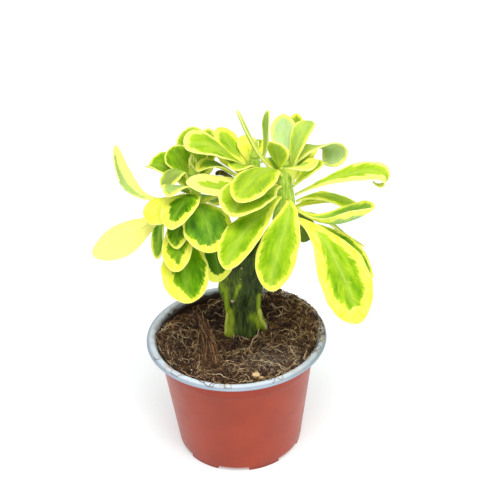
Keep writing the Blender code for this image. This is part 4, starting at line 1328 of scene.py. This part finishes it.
def build_crumbs(material):
    """Crumbs of peat and bark all over the soil, more of them where it is heaped, and four pale chips."""
    random = np.random.default_rng(51)
    place = on_soil(1500, random)
    place *= np.minimum(1.0, wall_reach(*place.T, 1.6) / np.hypot(*place.T))[:, None]
    heaped = 260
    angle = on_heap(heaped, random, 22.0, -8.0, 62.0)
    place = np.concatenate([place, polar(random.uniform(48.0, 56.5, heaped), angle)])
    count = len(place)
    size = random.gamma(3.0, 0.19, count) + 0.15
    mesh = crumb_mesh("crumbs", place, size, random.uniform(0.5, 1.5, (count, 1, 3)), random)
    tint = soil_tint(place, random.uniform(0.0, 0.5, count) ** 1.3)
    add_crumbs("peat_crumbs", mesh, tint * [[0.8], [0.0], [0.6]], material)
    chips = np.array([(11.6, -45.4), (14.6, -46.6), (-30.0, -36.0), (26.0, -40.0)])
    mesh = crumb_mesh("chips", chips, np.array([2.6, 1.5, 1.1, 1.2]), (1.25, 0.9, 0.8), random)
    tint = [(0.86, 0.7, 0.6, 0.7), (0.0, 0.0, 0.4, 0.5), (0.1, 0.1, 0.0, 0.0)]
    add_crumbs("bark_chips", mesh, tint, material)


# Pot


def rounded(section, steps=5):
    """A line of corners with each corner cut back by its own length and bridged by a curve."""
    line = []
    places = np.array(section)[:, :2]
    for index, (here, cut) in enumerate(zip(places, np.array(section)[:, 2])):
        if not cut:
            line.append(here)
            continue
        ends = []
        for away in (places[index - 1] - here, places[index + 1] - here):
            ends.append(here + unit(away) * min(cut, 0.45 * np.linalg.norm(away)))
        for t in np.linspace(0, 1, steps):
            line.append((1 - t) ** 2 * ends[0] + 2 * t * (1 - t) * here + t**2 * ends[1])
    return np.array(line)


def add_straights(line, longest=6.0):
    """The same line with its long stretches cut into shorter ones."""
    made = [line[0]]
    for start, end in zip(line, line[1:]):
        parts = max(1, int(np.ceil(np.linalg.norm(end - start) / longest)))
        made += [start + (end - start) * k / parts for k in range(1, parts + 1)]
    return np.array(made)


def foot_mesh(index, steps=13):
    """A short arc of the pot's base ring that reaches down to the ground, its lower edges eased."""
    middle = FOOT_TURN + 360.0 * index / FOOT_COUNT
    angles = np.radians(np.linspace(middle - FOOT_SPAN / 2, middle + FOOT_SPAN / 2, steps))
    inner, outer = FOOT_RADII
    top = FLOOR_UNDERSIDE + FOOT_SINK
    section = [(inner, 0.3), (inner + 0.3, 0.0), (outer - 0.3, 0.0), (outer, 0.3)]
    section += [(outer, top), (inner, top)]
    rings = np.array([[(*polar(r, a), z) for r, z in section] for a in angles])
    return tube_mesh("foot", rings, rings[0].mean(0), rings[-1].mean(0))


def disc_mesh(radius, low, high, centre, sides=32):
    """An upright cylinder from low to high."""
    ring = np.array(centre) + radius * circle(sides)
    rings = np.stack([np.column_stack([ring, np.full(sides, z)]) for z in (low, high)])
    return tube_mesh("disc", rings, (*centre, low), (*centre, high))


def combine(target, meshes, operation):
    """Joins or cuts the target with closed meshes and keeps the result as its mesh."""
    group = bpy.data.collections.new("with")
    others = [bpy.data.objects.new("with", mesh) for mesh in meshes]
    for other in others:
        group.objects.link(other)
    step = target.modifiers.new("join", "BOOLEAN")
    step.operand_type = "COLLECTION"
    step.operation = operation
    step.solver = "MANIFOLD"
    step.collection = group
    mesh = settled(target)
    target.modifiers.clear()
    target.data = mesh
    for other in others:
        bpy.data.objects.remove(other)
    bpy.data.collections.remove(group)


def paint_lip(mesh):
    """Gives the inside and the lip the pale plastic and leaves the outside terracotta."""
    x, y, height = (read(mesh.polygons, "center") / MM).T
    upward = read(mesh.polygons, "normal")[:, 2] > -0.05
    reach = np.hypot(x, y)
    inside = (reach < pot_inner_radius(height) + 0.5 * WALL) & (height > FLOOR_TOP - 0.2)
    lip = (height > LIP_LOW + 0.02) & (upward | (reach > RIM_RADIUS - 0.3))
    mesh.polygons.foreach_set("material_index", (inside | lip).astype(np.int32))


def build_pot(outside, lip):
    """The spun shell with six feet and a rest pad joined on and six drain holes cut through its floor."""
    line = add_straights(rounded(POT_SECTION))
    radius, height = line[1:-1].T[..., None]
    x, y = circle(POT_SIDES).T
    rings = np.stack([radius * x, radius * y, height + 0 * x], -1)
    pot = add_object("pot_shell", tube_mesh("tube", rings, (0, 0, line[0, 1]), (0, 0, line[-1, 1])))
    pad = disc_mesh(PAD_RADIUS, 0.0, FLOOR_UNDERSIDE + FOOT_SINK, (0, 0))
    combine(pot, [foot_mesh(index) for index in range(FOOT_COUNT)] + [pad], "UNION")
    turns = np.radians(FOOT_TURN + 360.0 * (np.arange(FOOT_COUNT) + 0.5) / FOOT_COUNT)
    drains = [disc_mesh(DRAIN_RADIUS, -1.0, FLOOR_TOP + 1.0, place) for place in polar(DRAIN_CIRCLE, turns)]
    combine(pot, drains, "DIFFERENCE")
    mesh = pot.data
    bpy.data.objects.remove(pot)
    mesh.materials.clear()
    add_piece("pot_shell", mesh, [outside, lip], "pot", "pot")
    paint_lip(mesh)
    mesh.set_sharp_from_angle(angle=math.radians(50.0))


# Camera, light and floor

CAMERA_RISE = math.radians(30.8)
CAMERA_ROLL = math.radians(2.3)
CAMERA_DISTANCE = 750.0
CAMERA_TARGET = np.array([4.9, 0.0, 155.9])
CAMERA_LENS = 88.5
CAMERA_SENSOR = 36.0
CAMERA_CLIP = (0.01, 20.0)
LIGHT_TARGET = (0.0, 0.0, 0.12)
FLOOR_HALF = 3000.0


def build_camera():
    """A camera in front of the plant, raised and tilted a little to the right."""
    back = np.array([0.0, -math.cos(CAMERA_RISE), math.sin(CAMERA_RISE)])
    right = np.array([1.0, 0.0, 0.0])
    up = np.cross(back, right)
    cos, sin = math.cos(CAMERA_ROLL), math.sin(CAMERA_ROLL)
    turn = Matrix([right * cos - up * sin, right * sin + up * cos, back]).transposed()
    lens = bpy.data.cameras.new("camera")
    lens.sensor_width = CAMERA_SENSOR
    lens.lens = CAMERA_LENS
    lens.clip_start, lens.clip_end = CAMERA_CLIP
    camera = add_object("camera", lens)
    eye = (CAMERA_TARGET + back * CAMERA_DISTANCE) * MM
    camera.matrix_world = Matrix.Translation(Vector(eye)) @ turn.to_4x4()
    bpy.context.scene.camera = camera


def add_light(name, place, size, power):
    """A square soft light that faces the plant."""
    light = bpy.data.lights.new(name, "AREA")
    light.size = size
    light.energy = power
    holder = add_object(name, light)
    holder.location = place
    holder.rotation_euler = (Vector(LIGHT_TARGET) - Vector(place)).to_track_quat("-Z", "Y").to_euler()


def build_studio():
    """Even light from all round, a soft key light, a weaker fill and a pale floor that glows a little."""
    scene = bpy.context.scene
    scene.view_settings.view_transform = "Standard"
    scene.world = bpy.data.worlds.new("studio")
    scene.world.use_nodes = True
    sky = scene.world.node_tree.nodes["Background"]
    sky.inputs["Color"].default_value = (1.0, 1.0, 1.0, 1.0)
    sky.inputs["Strength"].default_value = 0.8
    add_light("key", (0.10, -0.42, 1.05), 0.6, 7.5)
    add_light("fill", (0.6, -0.6, 0.5), 0.7, 1.2)
    tree = new_material("floor", Roughness=0.9, Specular_IOR_Level=0.1, Emission_Color=(1.0, 1.0, 1.0),
                        Emission_Strength=0.3)
    colour = tree.mix(tree.place().noise(3.0, 2.0), (0.745, 0.80, 0.805), (0.755, 0.81, 0.815))
    corners = [(x * FLOOR_HALF, y * FLOOR_HALF, 0.0) for x, y in ((-1, -1), (1, -1), (1, 1), (-1, 1))]
    mesh = make_mesh("floor", corners, [(0, 1, 2, 3)])
    mesh.materials.append(tree.paint(Base_Color=colour))
    add_object("floor", mesh)


def main():
    build_camera()
    build_studio()
    green = green_group()
    speckle = speckle_group()
    clay = (0.325, 0.034, 0.009)
    outside = pot_material("terracotta_plastic", clay, clay, 0.33, speckle, 0.05, False)
    # blue-grey pale plastic, with a near white painted highlight along the lip's crest
    lip = pot_material("pale_plastic", (0.30, 0.36, 0.44), (0.60, 0.67, 0.76), 0.28, speckle, 0.2, True)
    build_pot(outside, lip)
    build_soil(soil_material())
    fibre = fibre_material()
    for build in (build_fibres, build_husk, build_straws, build_spill, build_crumbs):
        build(fibre)
    build_stem(stem_material())
    build_leaves(leaf_material("leaf_blade", green))
    build_growing_tips(leaf_material("young_leaf", green))
    build_withered_leaf(withered_material())


main()
bpy.context.view_layer.update()
